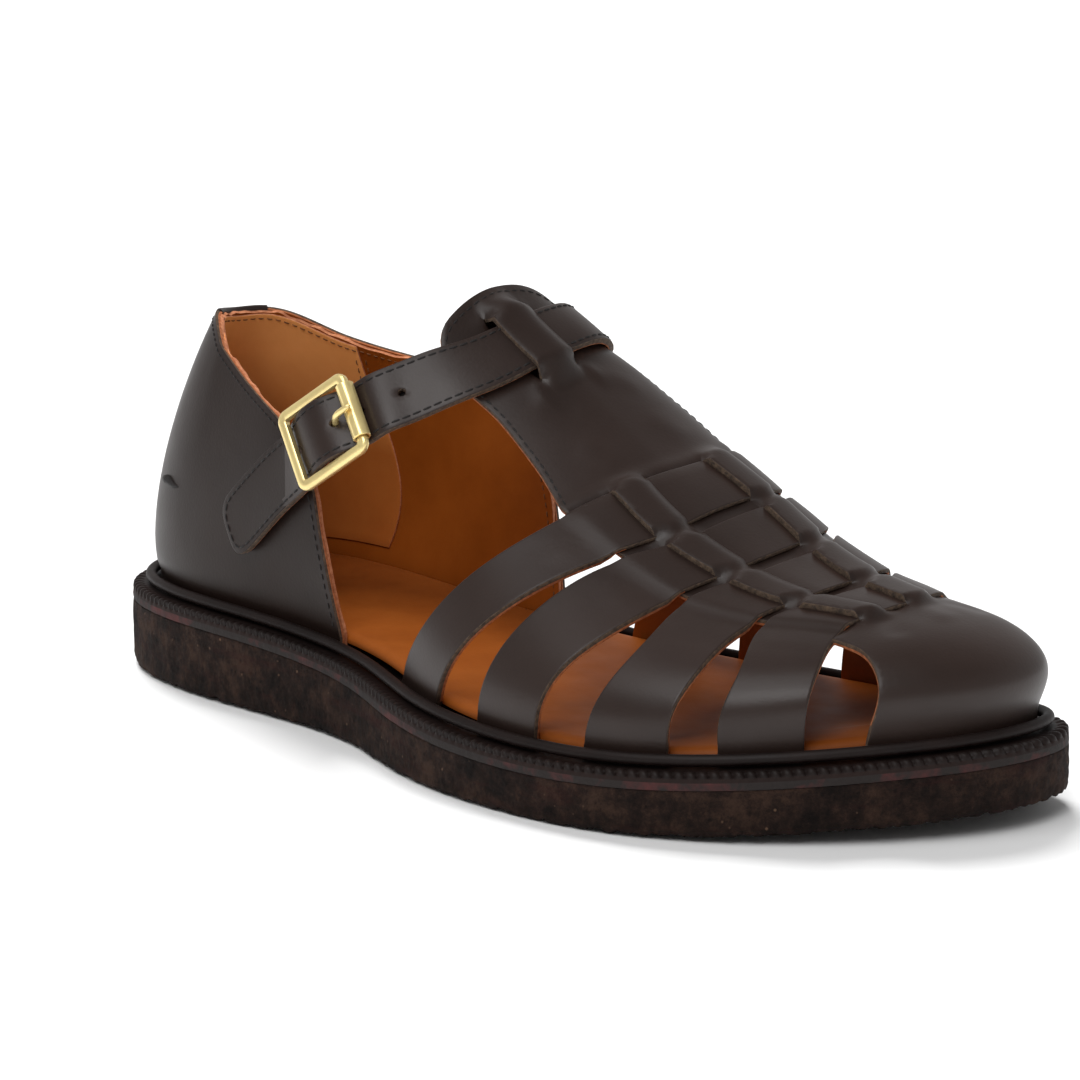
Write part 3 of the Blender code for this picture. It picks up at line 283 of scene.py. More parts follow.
# Cross straps. Each edge: its outer foot's place on the feather line (outer side positive), then
# pattern points down the outer side, over the T-bar, down the inner side, and the inner foot.
EDGES = {
    "strap1_heel": (135, ((134.4, -69.6), (143.3, -53.9), (151.2, -35.0)),
                    ((155.5, -18), (158, 0), (156.5, 16)),
                    ((151.0, 28), (145.5, 37.5), (138.3, 49), (129.5, 65)), -139),
    "strap1_toe": (154, ((144.3, -75.4), (155.1, -57.3), (167.4, -31.5)),
                   ((171, -20.7), (172, 0), (170, 18)),
                   ((164.5, 28.8), (154.2, 44.5), (146, 61)), -155),
    "strap2_heel": (171, ((157.6, -70.8), (163.1, -53), (169.8, -31.5)),
                    ((174, -20.9), (175.5, 0), (173, 18)),
                    ((167.2, 28.8), (159, 42.7), (154, 58)), -168),
    "strap2_toe": (189.5, ((175.9, -64.8), (181.3, -49.5), (186.0, -30)),
                   ((187.8, -19.9), (188.5, 0), (185.5, 17)),
                   ((179.3, 27.4), (173.2, 38), (170, 50)), -186),
    "strap3_heel": (203, ((189.8, -57.6), (190.2, -43.3), (188.8, -30)),
                    ((191, -17.6), (192, 0), (189.5, 16)),
                    ((182.4, 27.4), (181.3, 36), (181, 47)), -197),
    "strap3_toe": (223, ((206.1, -48.7), (204.8, -36), (204.4, -26.6)),
                   ((205.3, -14.9), (205.9, 0), (203.6, 15.5)),
                   ((199, 25.4), (196, 34.1), (195, 43)), -211),
    "strap4_heel": (234, ((214.3, -44), (210, -34), (207.2, -26.6)),
                    ((208.2, -14), (209.4, 0), (207.6, 14)),
                    ((202.0, 25.4), (203.9, 33), (204, 41)), -220),
    "strap4_toe": (252, ((230.4, -38.8), (226.4, -29.5), (222.6, -20.6)),
                   ((221.8, -9), (222.6, 0), (221.2, 12)),
                   ((218.3, 21.3), (219.2, 28), (221.4, 35.2)), -235),
}
# The toe cap's edge in front of the last window, from its upper corner to its foot, each side.
CAP_OUT = (((225.0, -21.4), (229.5, -21.0), (235.4, -22.8), (241.4, -27.0)), 265)
CAP_IN = (((222.2, 20.2), (227.3, 21.4), (232.9, 24.6), (236.4, 30)), -247)
# The T-bar's end and sides above the first strap, outer side to inner side round the tongue.
TONGUE = ((150.5, -30.2), (142, -27.2), (132, -24.8), (122, -23.6), (114, -23.8), (108.6, -23.0),
          (105.4, -20.5), (104.2, -15), (104, -5), (104, 5), (104.6, 13), (106.5, 20), (109.4, 23.6),
          (114, 24.6), (122, 25.0), (132, 25.6), (142, 25.8), (149.0, 26.8))
# The quarters: place on the feather line (outer side positive) and height walked up the last.
TOPLINE = ((104.9, 8), (103.9, 17.7), (102.4, 26), (100.7, 33), (97.4, 38.8), (92.6, 43.2),
           (86, 46.4), (72, 50.7), (56, 56.2), (42, 61.6), (29, 65.1), (15, 66.3), (0, 65.8),
           (-15, 65.5), (-27, 63.6), (-39, 60.2), (-53, 56.2), (-66, 53.7), (-80, 52.5),
           (-91, 52.1), (-99, 50), (-104.5, 44.5), (-108.5, 36.4), (-112, 28.5), (-115.3, 18.5),
           (-118, 8))
QUARTER_FEET = (105.4, -119.6)
# Weave columns by p: the outer loop's sides, the inner loop's sides, the T-bar's sides.
WEAVE = ((150, -18.0, -8.2, 7.2, 16.6, -28.4, 25.6), (172, -20.6, -10.8, 9.4, 19.0, -29.2, 26.4),
         (188, -19.0, -9.6, 7.6, 17.0, -28.0, 25.0), (205, -16.8, -7.8, 4.0, 14.6, -23.4, 22.0),
         (222, -11.8, -4.2, 2.2, 11.4, -15.5, 17.0))
BAND_MID = -3.2       # the middle of the instep band
BAND_HALF = 5.4       # its half width

WEAVE_FN = [profile([(r[0], r[c]) for r in WEAVE]) for c in range(1, 7)]
ROW_FN = {n: profile(sorted([(m[1], m[0]) for m in (e[1][-1],) + e[2] + (e[3][0],)]))
          for n, e in EDGES.items()}


def splines(s, pts):
    """One spline for each coordinate of a line whose points lie at the distances s."""
    return [profile(list(zip(s, col))) for col in pts.T]


def read(curves, w):
    return np.stack([f(w) for f in curves], 1)


def smooth_line(points, count):
    """An open spline through pattern points, read at equal steps; both ends kept."""
    pts = np.asarray(points, float)
    s = walked(pts)
    return read(splines(s, pts), np.linspace(0, s[-1], count))


def by_step(points, step):
    """The same line read at equal steps of about this length."""
    length = walked(np.asarray(points, float))[-1]
    return [tuple(v) for v in smooth_line(points, max(2, int(length / step) + 1))]


def feather_ring(count, off):
    """Points at equal steps round the feather line, pushed out by off, and their x there."""
    w = np.arange(count) * ROUND / count
    pts = feather_at(w)
    d = unit(feather_at(w + 1.5) - feather_at(w - 1.5))
    return pts + np.stack([d[:, 1], -d[:, 0]], 1) * off, pts[:, 0]


SOLE_OUT = 6.7
EDGE_RING = feather_ring(240, SOLE_OUT + 0.25)[0]
CENTRE = np.append((EDGE_RING.min(0) + EDGE_RING.max(0)) / 2, 0.0)


# ------------------------------------------------------------------ materials
def feed(tree, n, values):
    """Give a node's inputs their values, or the sockets they come from."""
    for key, value in values.items():
        if isinstance(value, bpy.types.NodeSocket):
            tree.links.new(value, n.inputs[key])
        else:
            n.inputs[key].default_value = value


def node(tree, kind, values):
    n = tree.nodes.new("ShaderNode" + kind)
    feed(tree, n, values)
    return n


def nodes_for(name, rough, metal=0.0):
    """A new material, its tree, its shader and its object coordinates."""
    m = bpy.data.materials.new(name)
    m.use_nodes = True
    tree = m.node_tree
    b = tree.nodes["Principled BSDF"]
    feed(tree, b, {"Roughness": rough, "Metallic": metal})
    return m, tree, b, node(tree, "TexCoord", {}).outputs["Object"]


def noise_node(tree, at, scale, detail=3.0, rough=0.55):
    return node(tree, "TexNoise", {"Scale": scale, "Detail": detail, "Roughness": rough,
                                   "Vector": at}).outputs["Fac"]


def cells_node(tree, at, scale, feature="F1"):
    n = node(tree, "TexVoronoi", {})
    n.feature = feature
    feed(tree, n, {"Scale": scale, "Vector": at})
    return n.outputs["Distance"]


def ramp_node(tree, source, stops):
    """A colour ramp; a stop's colour may be a single grey."""
    r = node(tree, "ValToRGB", {"Fac": source})
    el = r.color_ramp.elements
    while len(el) < len(stops):
        el.new(0.5)
    for e, (at, c) in zip(el, stops):
        e.position = at
        e.color = (*(c if isinstance(c, tuple) else (c, c, c)), 1.0)
    return r.outputs["Color"]


def mix_node(tree, share, one, other, blend="MIX"):
    n = tree.nodes.new("ShaderNodeMix")
    n.data_type = "RGBA"
    n.blend_type = blend
    feed(tree, n, {"Factor": share, 6: one, 7: other})
    return n.outputs[2]


def times_node(tree, one, other):
    n = tree.nodes.new("ShaderNodeMath")
    n.operation = "MULTIPLY"
    feed(tree, n, {0: one, 1: other})
    return n.outputs["Value"]


def bump(tree, b, height, strength, dist, under=None):
    n = node(tree, "Bump", {"Strength": strength, "Distance": dist, "Height": height})
    if under is not None:
        feed(tree, n, {"Normal": under})
    feed(tree, b, {"Normal": n.outputs["Normal"]})
    return n.outputs["Normal"]


def range_node(tree, source, lo, hi, start=0.0, end=1.0):
    return node(tree, "MapRange", {"To Min": lo, "To Max": hi, "From Min": start, "From Max": end,
                                   "Value": source}).outputs["Result"]


def dark_leather(name, shade, shine):
    m, t, b, co = nodes_for(name, 0.4)
    low, high = [tuple(v * shade for v in rgb) for rgb in ((0.0180, 0.0103, 0.0080),
                                                           (0.0270, 0.0160, 0.0128))]
    feed(t, b, {"Base Color": ramp_node(t, noise_node(t, co, 28, 4), ((0.28, low), (0.72, high))),
                "Roughness": range_node(t, noise_node(t, co, 75, 5), 0.31, 0.45),
                "Specular IOR Level": shine})
    one = bump(t, b, noise_node(t, co, 260, 4), 0.05, 0.0004)
    bump(t, b, cells_node(t, co, 1500, "SMOOTH_F1"), 0.08, 0.00022, one)
    return m


def tan_leather(name, light, dark, shade_below=None):
    """Tan lining leather. The optional last argument paints shade: a low and a high place between
    which it darkens downwards from its own colour, and the share of each colour left at the low
    place and below."""
    m, t, b, co = nodes_for(name, 0.55)
    c = ramp_node(t, noise_node(t, co, 45, 6, 0.62), ((0.3, dark), (0.7, light)))
    if shade_below:
        # Painted shade: the colour is multiplied down towards the bottom, where less light reaches
        # inside the shoe.
        z = node(t, "SeparateXYZ", {"Vector": co}).outputs["Z"]
        deep = ramp_node(t, range_node(t, z, 0.0, 1.0, *shade_below[:2]), ((0.0, shade_below[2]), (1.0, 1.0)))
        c = mix_node(t, 1.0, c, deep, "MULTIPLY")
    feed(t, b, {"Base Color": c, "Specular IOR Level": 0.14,
                "Roughness": range_node(t, noise_node(t, co, 120, 4), 0.45, 0.66)})
    bump(t, b, noise_node(t, co, 1400, 3), 0.15, 0.0002)
    return m


def cut_leather(name, light, dark, patches=900, share=(0.35, 0.7)):
    """A cut edge or a glue line: dark and light patches, each from its share of the noise."""
    m, t, b, co = nodes_for(name, 0.85)
    patchy = noise_node(t, co, patches, 4, 0.7)
    feed(t, b, {"Base Color": ramp_node(t, patchy, ((share[0], dark), (share[1], light)))})
    bump(t, b, noise_node(t, co, 1600, 3), 0.5, 0.0003)
    return m


def crepe():
    """Crepe rubber: mottled brown, with reddish streaks, pale specks and dark pores."""
    m, t, b, co = nodes_for("crepe_rubber", 0.82)
    base = ramp_node(t, noise_node(t, co, 110, 8, 0.78),
                     ((0.38, (0.0075, 0.0040, 0.0032)), (0.5, (0.0270, 0.0142, 0.0106)),
                      (0.62, (0.066, 0.0350, 0.0235))))
    flat = node(t, "Mapping", {"Scale": (1.0, 1.0, 7.0), "Vector": co}).outputs["Vector"]
    red = ramp_node(t, noise_node(t, flat, 30, 5, 0.6), ((0.55, 0.0), (0.72, 1.0)))
    colour = mix_node(t, times_node(t, red, 0.55), base, (0.048, 0.011, 0.010, 1))
    dot = ramp_node(t, cells_node(t, co, 260), ((0.05, 1.0), (0.11, 0.0)))
    rare = ramp_node(t, noise_node(t, co, 95, 2), ((0.38, 0.0), (0.48, 1.0)))
    colour = mix_node(t, times_node(t, dot, rare), colour, (0.19, 0.11, 0.07, 1))
    pore = ramp_node(t, cells_node(t, co, 300), ((0.06, 0.5), (0.17, 1.0)))
    feed(t, b, {"Base Color": mix_node(t, 1.0, colour, pore, "MULTIPLY"),
                "Specular IOR Level": 0.15})
    one = bump(t, b, noise_node(t, co, 300, 8, 0.8), 1.0, 0.0030)
    bump(t, b, pore, 0.5, 0.0009, one)
    return m


def plain(name, colour, rough, metal=0.0, grain=600, strength=0.15, spread=0.25):
    m, t, b, co = nodes_for(name, rough, metal)
    low, high = [tuple(min(1.0, v * k) for v in colour) for k in (1 - spread, 1 + spread)]
    feed(t, b, {"Base Color": ramp_node(t, noise_node(t, co, grain / 6, 4),
                                        ((0.3, low), (0.7, high))),
                "Roughness": range_node(t, noise_node(t, co, grain / 3, 4), rough - 0.06,
                                        rough + 0.08)})
    bump(t, b, noise_node(t, co, grain, 3), strength, 0.0002)
    return m


DARK = dark_leather("dark_leather", 1.0, 0.33)
# Painted shade: a darker, less shiny copy of the dark leather, for the quarters and the ankle
# strap's free end.
DARK_SHADED = dark_leather("dark_leather_painted_shade", 0.74, 0.13)
TAN = tan_leather("tan_leather", (0.29, 0.073, 0.008), (0.215, 0.049, 0.004))
# The heel lining's paler tan, with painted shade darkening it from 75 mm down to 50 mm up.
TAN_PALE = tan_leather("tan_heel", (0.98, 0.46, 0.15), (0.84, 0.35, 0.10),
                       (0.050, 0.075, (0.42, 0.28, 0.17)))
INSOLE = tan_leather("tan_insole", (0.25, 0.067, 0.010), (0.185, 0.045, 0.006))
CUT = cut_leather("cut_edge_dark", (0.125, 0.080, 0.050), (0.034, 0.021, 0.014))
CUT_TAN = cut_leather("cut_edge_tan", (0.52, 0.17, 0.060), (0.26, 0.075, 0.025))
RAW = cut_leather("raw_lining_edge", (0.66, 0.28, 0.14), (0.40, 0.13, 0.055))
THREAD = plain("thread", (0.007, 0.005, 0.0045), 0.7, grain=2500, strength=0.4)
TAN_THREAD = plain("tan_thread", (0.17, 0.065, 0.018), 0.75, grain=2500, strength=0.4)
CREPE = crepe()
WELT = plain("welt_rubber", (0.0090, 0.0046, 0.0038), 0.52, grain=700, strength=0.3)
WELT_SIDE = plain("welt_side", (0.0140, 0.0071, 0.0057), 0.72, grain=500, strength=0.6)
for item in (WELT, WELT_SIDE):
    item.node_tree.nodes["Principled BSDF"].inputs["Specular IOR Level"].default_value = 0.20
GLUE = cut_leather("glue_line", (0.070, 0.012, 0.011), (0.010, 0.0055, 0.0045), 70, (0.50, 0.66))
BRASS = plain("brass", (0.97, 0.765, 0.345), 0.32, 0.72, grain=900, strength=0.05, spread=0.06)
LEATHER = [DARK, CUT, TAN, CUT_TAN]


# ------------------------------------------------------------------ meshes
def thing(name, verts, faces, mats, pick=None, bevel=0.0, sharp=None, slot=None):
    """A piece of the shoe from points in millimetres; pick: each face's material number."""
    mesh = bpy.data.meshes.new(name)
    v = (np.asarray(verts, float) - CENTRE) * MM
    mesh.from_pydata(v.tolist(), [], faces)
    for m in mats:
        mesh.materials.append(m)
    if pick is not None:
        mesh.polygons.foreach_set("material_index", pick)
    mesh.polygons.foreach_set("use_smooth", [True] * len(mesh.polygons))
    bm = bmesh.new()
    bm.from_mesh(mesh)
    bmesh.ops.recalc_face_normals(bm, faces=bm.faces)
    bm.to_mesh(mesh)
    bm.free()
    if sharp:
        mesh.set_sharp_from_angle(angle=math.radians(sharp))
    obj = bpy.data.objects.new(name, mesh)
    bpy.context.scene.collection.objects.link(obj)
    if bevel:
        mod = obj.modifiers.new("Edges", "BEVEL")
        mod.width = bevel * MM
        mod.segments = 2
        mod.limit_method = "ANGLE"
        mod.angle_limit = math.radians(50)
    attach(obj, "root")
    return obj


def only_used(verts, faces):
    """The points that a face uses, and the faces numbered again."""
    used = sorted({v for f in faces for v in f})
    at = {v: k for k, v in enumerate(used)}
    return verts[used], [tuple(at[v] for v in f) for f in faces]


def grid_mesh(low, high, skip=(), tan=None):
    """A closed sheet from two grids of points. Returns points, faces, and for each face 0 top,
    1 cut edge, 2 underside, 3 the lining's cut edge (only where tan says so, if given)."""
    rows, cols = low.shape[:2]
    half = rows * cols
    m = 2 * half
    verts = np.concatenate([g.reshape(-1, 3) for g in (low, high, low + (high - low) * DARK_EDGE)])
    cells = {(i, j) for i in range(rows - 1) for j in range(cols - 1)} - set(skip)
    faces = []
    kind = []
    for i, j in sorted(cells):
        a = i * cols + j
        b, c, d = a + 1, a + cols + 1, a + cols
        faces += [(a, b, c, d), (a + half, d + half, c + half, b + half)]
        kind += [2, 0]
        for x, y, near in ((a, b, (i - 1, j)), (b, c, (i, j + 1)), (c, d, (i + 1, j)),
                           (d, a, (i, j - 1))):
            if near not in cells:
                faces += [(y, x, x + m, y + m), (y + m, x + m, x + half, y + half)]
                kind += [3 if tan is None or tan[i, j] else 1, 1]
    return *only_used(verts, faces), kind


def plate(name, p, q, top, thick, mats, bevel=0.3, slot="dark_leather", tan=None):
    """A leather strip laid on the last: grids of pattern points, lift of its face, thickness."""
    on, n = [f(p.ravel(), q.ravel()).reshape(*p.shape, 3) for f in (on_last, last_normal)]
    top = np.broadcast_to(top, p.shape)
    verts, faces, kind = grid_mesh(on + n * (top - thick)[..., None], on + n * top[..., None],
                                   (), tan)
    return thing(name, verts, faces, mats, kind, bevel, slot=slot)


def tube(path, radius, sides, flat=None):
    """A rod along a path of points; flat: the direction in which its first corner is looked for."""
    pts = np.asarray(path, float)
    a = (np.arange(sides) + 0.5) * 2 * math.pi / sides
    side = flat
    loops = []
    for at, d, r in zip(pts, unit(np.gradient(pts, axis=0)), np.broadcast_to(radius, len(pts))):
        if flat is not None:
            side = flat
        elif side is None:
            side = np.cross(d, [0.3, 0.5, 0.81])
        side = unit(side - d * (side @ d))
        loops.append(at + r * (np.cos(a)[:, None] * side
                               + np.sin(a)[:, None] * np.cross(d, side)))
    return loft(loops, False)


def loft(loops, wrap):
    """Quads from ring to ring; the last ring joins the first, or both ends are closed."""
    n = len(loops[0])
    m = len(loops)
    verts = np.concatenate(loops)
    faces = []
    for k in range(m if wrap else m - 1):
        a = k * n
        b = ((k + 1) % m) * n
        for i in range(n):
            j = (i + 1) % n
            faces.append((a + i, a + j, b + j, b + i))
    if not wrap:
        faces.append(tuple(range(n))[::-1])
        faces.append(tuple(range((m - 1) * n, m * n)))
    return verts, faces


def merge(parts):
    verts = []
    faces = []
    for v, f in parts:
        faces += [tuple(i + len(verts) for i in g) for g in f]
        verts += list(v)
    return np.array(verts), faces


def stitches(name, lines, pitch, long, radius, mat=THREAD, sink=0.05):
    """Rows of short stitches along lines of (points, normals)."""
    rise = np.array([-0.25, 0.05, 0.14, 0.05, -0.25]) - sink
    rad = radius * np.array([0.5, 0.95, 1.0, 0.95, 0.5])
    parts = []
    for pts, normals in lines:
        s = walked(pts)
        for k in range(int((s[-1] - long) / pitch) + 1):
            w = k * pitch + np.array([0, 0.18, 0.5, 0.82, 1.0]) * long
            n = along(w, s, normals)
            parts.append(tube(along(w, s, pts) + n * rise[:, None], rad, 6, n.mean(0)))
    verts, faces = merge(parts)
    thing(name, verts, faces, [mat])


# ------------------------------------------------------------------ cross straps and T-bar
def strap_edge(name):
    """A strap's edge from foot to foot, with fixed counts up to, over and after the T-bar."""
    start, outer, middle, inner, end = EDGES[name]
    pts = np.array([from_feather(start, TUCK), *outer, *middle, *inner,
                    from_feather(end, TUCK)], float)
    s = walked(pts)
    stops = [s[k] for k in (0, len(outer), len(outer) + len(middle) + 1, -1)]
    w = np.concatenate([np.linspace(a, b, count, endpoint=count == 24)
                        for a, b, count in zip(stops, stops[1:], (26, 46, 24))])
    return read(splines(s, pts), w)


ACROSS_V = np.array([0.0, 0.035, 0.12, 0.25, 0.38, 0.5, 0.62, 0.75, 0.88, 0.965, 1.0])
LOOPS = ((0, 1), (2, 3))    # the two columns of loops, by the numbers of their sides


def soft(x):
    x = np.clip(x, 0.0, 1.0)
    return x * x * (3 - 2 * x)


def cross_straps():
    """The four cross straps: over the foot at the sides, under the loops in the middle."""
    v = ACROSS_V[None, :]
    for i in range(1, 5):
        e0, e1 = [strap_edge("strap%d_%s" % (i, side)) for side in ("heel", "toe")]
        p, q = [e0[:, k:k + 1] * (1 - v) + e1[:, k:k + 1] * v for k in (0, 1)]
        inside_by = np.minimum(q - WEAVE_FN[4](p), WEAVE_FN[5](p) - q)
        over = soft((inside_by + 4.2) / 4.2)
        lift = over + 0.16 * np.sin(v * math.pi) * (inside_by > -12) - 0.05
        for a, b in LOOPS:
            middle = (WEAVE_FN[a](p) + WEAVE_FN[b](p)) / 2
            lift -= 0.3 * soft(1.2 - np.abs(q - middle) / 6.5)
        if i == 1:
            lift -= 0.3 * (1 - soft(v / 0.12)) * over
        # The lining's cut edge shows tan only outside the T-bar; over it the edge takes the dark
        # colour, painted shade in the weave.
        plate("strap_%d" % i, p, q, lift, 1.95 - 0.8 * over, LEATHER, 0.28,
              tan=(inside_by > -60) & (inside_by < 0.5))


LOOP_TOP = 2.45       # a loop's face over a strap
PINCH = 1.4          # and between two straps
UNDER = -0.35         # the T-bar's face under a strap
SLIT_END = 0.05       # a slit runs this far past the strap on either side


def weave_share(p, q):
    """How far a place is inside the weave, inside a row of it, and where its slits are open."""
    heel = ROW_FN["strap1_heel"](q)
    toe = ROW_FN["strap4_toe"](q)
    whole = soft((p - heel + 4.8) / 4.8) * soft((toe - p + 3.4) / 3.4)
    row = slit = np.zeros(len(p))
    for i in range(1, 5):
        a = p - ROW_FN["strap%d_heel" % i](q)
        b = ROW_FN["strap%d_toe" % i](q) - p
        row = np.maximum(row, soft((a + 2.6) / 3.2) * soft((b + 2.6) / 3.2))
        slit = np.maximum(slit, soft((a + SLIT_END) / 1.2) * soft((b + SLIT_END) / 1.2))
    return heel, toe, whole, row, slit


def weave_lift(p, q):
    """The T-bar's face in the weave: pressed down under the straps, standing up in the loops."""
    heel, toe, whole, row, slit = weave_share(p, q)
    pressed = soft((p - heel + 0.5) / 0.9) * soft((toe + 0.5 - p) / 0.9)
    z = UNDER * pressed + 0.35 * np.exp(-((p - heel + 1.7) / 1.7) ** 2) * (1 - pressed)
    rise = whole * (PINCH + (LOOP_TOP - PINCH) * row) - z
    out = z.copy()
    for a, b in LOOPS:
        lo = WEAVE_FN[a](p)
        hi = WEAVE_FN[b](p)
        u = np.abs(q - (lo + hi) / 2) / ((hi - lo) / 2)
        far = np.maximum(0.0, u - 1) * (hi - lo) / 2
        rolled = soft(((q - lo) / (hi - lo) - 0.35) / 0.65)
        k = (0.06 + 0.4 * rolled) * slit + 0.8 * (1 - slit)
        out += rise * np.where(u <= 1.0, 1 - k * np.minimum(u, 1) ** 2,
                               0.2 * np.exp(-(far / 1.9) ** 2) * (1 - slit))
    return np.where(p > 140, out, 0.0)


def loop_slit(row, side, sign):
    """The thin cut along one side of a loop, as a closed line; sign points away from the loop."""
    a = b = float(WEAVE_FN[side](150 + 18 * row))
    for _ in range(4):
        p0 = float(ROW_FN["strap%d_heel" % row](a)) - SLIT_END
        p1 = float(ROW_FN["strap%d_toe" % row](b)) + SLIT_END
        a = float(WEAVE_FN[side](p0))
        b = float(WEAVE_FN[side](p1))
    ps = np.linspace(p0, p1, 22)
    qs = WEAVE_FN[side](ps)
    near, off = [[(float(x), float(y) + w * sign) for x, y in zip(ps, qs)] for w in (-0.02, 0.38)]
    return [(p0 - 0.15, a + 0.18 * sign), *near, (p1 + 0.15, b + 0.18 * sign), *off[::-1]]


def inside_many(points, loop):
    """Which points lie inside a closed line, by counting crossings."""
    x, y = points.T
    a = np.asarray(loop)
    hit = np.zeros(len(points), bool)
    for (ax, ay), (bx, by) in zip(a, np.roll(a, -1, 0)):
        if ay != by:
            hit ^= ((ay > y) != (by > y)) & (x < (bx - ax) * (y - ay) / (by - ay) + ax)
    return hit


def within(points, outline, holes):
    """Which points lie inside the outline and in none of the holes."""
    keep = inside_many(points, outline)
    for h in holes:
        keep &= ~inside_many(points, h)
    return keep


def far_from(points, line, reach):
    """Which points lie farther than reach from an open line."""
    a = np.asarray(line, float)
    ok = np.ones(len(points), bool)
    for p0, p1 in zip(a, a[1:]):
        d = p1 - p0
        t = np.clip(((points - p0) @ d) / max(d @ d, 1e-9), 0, 1)
        ok &= np.linalg.norm(points - p0 - t[:, None] * d, axis=1) > reach
    return ok


def sheet(name, outline, holes, lines, net, place, bevel, plain_edge=None, pale=DARK_EDGE):
    """A leather sheet of any outline, with a true cut edge, put in its place by place."""
    rims = [outline] + holes
    verts = []
    edges = []
    for line in rims + lines:
        start = len(verts)
        verts += [tuple(v) for v in line]
        edges += [(start + i, start + i + 1) for i in range(len(line) - 1)]
        if len(edges) and len(verts) <= sum(len(v) for v in rims):
            edges.append((len(verts) - 1, start))
    lo = np.min(outline, axis=0)
    hi = np.max(outline, axis=0)
    gi, gj = np.meshgrid(np.arange(int((hi[0] - lo[0]) / net) + 2),
                         np.arange(int((hi[1] - lo[1]) / (net * 0.87)) + 2), indexing="ij")
    pts = np.stack([lo[0] + (gi + 0.5 * (gj % 2)) * net, lo[1] + gj * net * 0.87], -1)
    pts = pts.reshape(-1, 2)
    pts = pts[within(pts, outline, holes)]
    for rim in rims:
        pts = pts[far_from(pts, [*rim, rim[0]], net * 0.5)]
    for line in lines:
        pts = pts[far_from(pts, line, net * 0.4)]
    verts += [tuple(v) for v in pts.tolist()]
    flat, _, faces, source, _, _ = delaunay_2d_cdt([Vector(v) for v in verts], edges, [], 0, 1e-5)
    co = np.array([(v[0], v[1]) for v in flat])
    given_at = {g: i for i, given in enumerate(source) for g in given}
    tri = np.array([tuple(f) for f in faces])
    tri = tri[within(co[tri].mean(1), outline, holes)]
    top, low = place(co[:, 0], co[:, 1])
    base = len(co)
    m = 2 * base
    out = []
    kind = []
    for f in tri.tolist():
        out += [tuple(f), (f[2] + base, f[1] + base, f[0] + base)]
        kind += [0, 2]
    first = 0
    for rim in rims:
        for i in range(len(rim)):
            a = given_at[first + i]
            b = given_at[first + (i + 1) % len(rim)]
            dark = plain_edge is not None and (first > 0 or plain_edge(*co[a]))
            out += [(a, b, b + m, a + m), (a + m, b + m, b + base, a + base)]
            kind += [1, 1 if dark else 3]
        first += len(rim)
    verts, faces = only_used(np.concatenate([top, low, low + (top - low) * pale]), out)
    return thing(name, verts, faces, LEATHER, kind, bevel, slot="dark_leather")


SLITS = (108.5, 125.0)    # the instep band's slits, just past the ankle strap on either side
BAND_TOP = 4.3            # the band's face above the last


def slit_loop(sign):
    """The thin cut along one side of the instep band, as a closed line."""
    near, far = [BAND_MID + (BAND_HALF + w) * sign for w in (-0.02, 0.45)]
    ps = [float(p) for p in np.linspace(*SLITS, 26)]
    return [(SLITS[0] - 0.2, near + 0.2 * sign), *[(p, near) for p in ps],
            (SLITS[1] + 0.2, near + 0.2 * sign), *[(p, far) for p in ps[::-1]]]


def band_soft(p, q):
    """The instep band's rise: cut free at its sides, running out softly past its ends."""
    up = soft((p - SLITS[0] + 4.6) / 5.8)
    down = soft((SLITS[1] + 4.6 - p) / 6.4)
    u = np.abs(q - BAND_MID) / BAND_HALF
    open_ = soft((p - SLITS[0]) / 1.5) * soft((SLITS[1] - p) / 2.0)
    far = np.maximum(0.0, u - 1) * BAND_HALF
    rolled = soft((q - BAND_MID) / BAND_HALF)
    k = (0.05 + 0.24 * rolled) * open_ + 0.8 * (1 - open_)
    inside = 1 - k * np.minimum(u, 1) ** 2
    beside = 0.13 * np.exp(-(far / 2.8) ** 2) * (1 - open_)
    return up * down * np.where(u <= 1.0, inside, beside)


def crease(p, q, at, to, wide, deep):
    """A soft trough (deep < 0) or ridge along a line in the pattern plane."""
    a = np.array(at, float)
    d = np.array(to, float) - a
    length = np.linalg.norm(d)
    d /= length
    ahead = (p - a[0]) * d[0] + (q - a[1]) * d[1]
    off = -(p - a[0]) * d[1] + (q - a[1]) * d[0]
    fade = soft(ahead / (0.3 * length)) * soft((length - ahead) / (0.3 * length))
    return deep * np.exp(-(off / wide) ** 2) * fade


# The T-bar's soft troughs and ridges: from, to, width and height.
CREASES = (((128, -14), (136, -6), 3.0, -0.22), ((127, 6), (136, 14), 3.0, 0.20),
           ((222, -6), (234, -12), 3.0, -0.30), ((221, 3), (236, 4), 3.4, 0.28),
           ((223, 12), (235, 17), 3.0, -0.26), ((140, -14), (152, -10), 4.0, 0.22),
           ((141, 8), (152, 12), 4.0, 0.22))


def pucker(p, q):
    """The T-bar swells beside the toe end of its slits."""
    off = np.abs(q - BAND_MID) - BAND_HALF
    beside = np.exp(-((off - 2.4) / 2.6) ** 2) * soft(off / 2.5) * (off > 0.1)
    return beside * 0.5 * np.exp(-((p - 128.5) / 2.8) ** 2)


def bar_top(p, q):
    """The lift of the T-bar's face above the last."""
    z = band_soft(p, q) * BAND_TOP + pucker(p, q) + weave_lift(p, q)
    for c in CREASES:
        z = z + crease(p, q, *c)
    return z


def bar_place(p, q):
    """The T-bar's face and underside over pattern points, thinner in the weave and the band."""
    on = on_last(p, q)
    n = last_normal(p, q)
    top = bar_top(p, q)
    thin = soft((p - 145) / 5) * soft((229 - p) / 5)
    wall = 1.8 - 0.3 * thin - 0.35 * band_soft(p, q)
    return on + n * top[:, None], on + n * (top - wall)[:, None]


# The T-bar's sides past the tongue, down to the toe cap.
BAR_OUT = ((160, -29.6), (172, -29.0), (188, -27.6), (205, -23.4), (216, -21.6), (221.0, -21.8))
BAR_IN = ((158, 26.8), (172, 26.0), (188, 24.6), (205, 21.6), (216, 18.6), (220.4, 18.9))


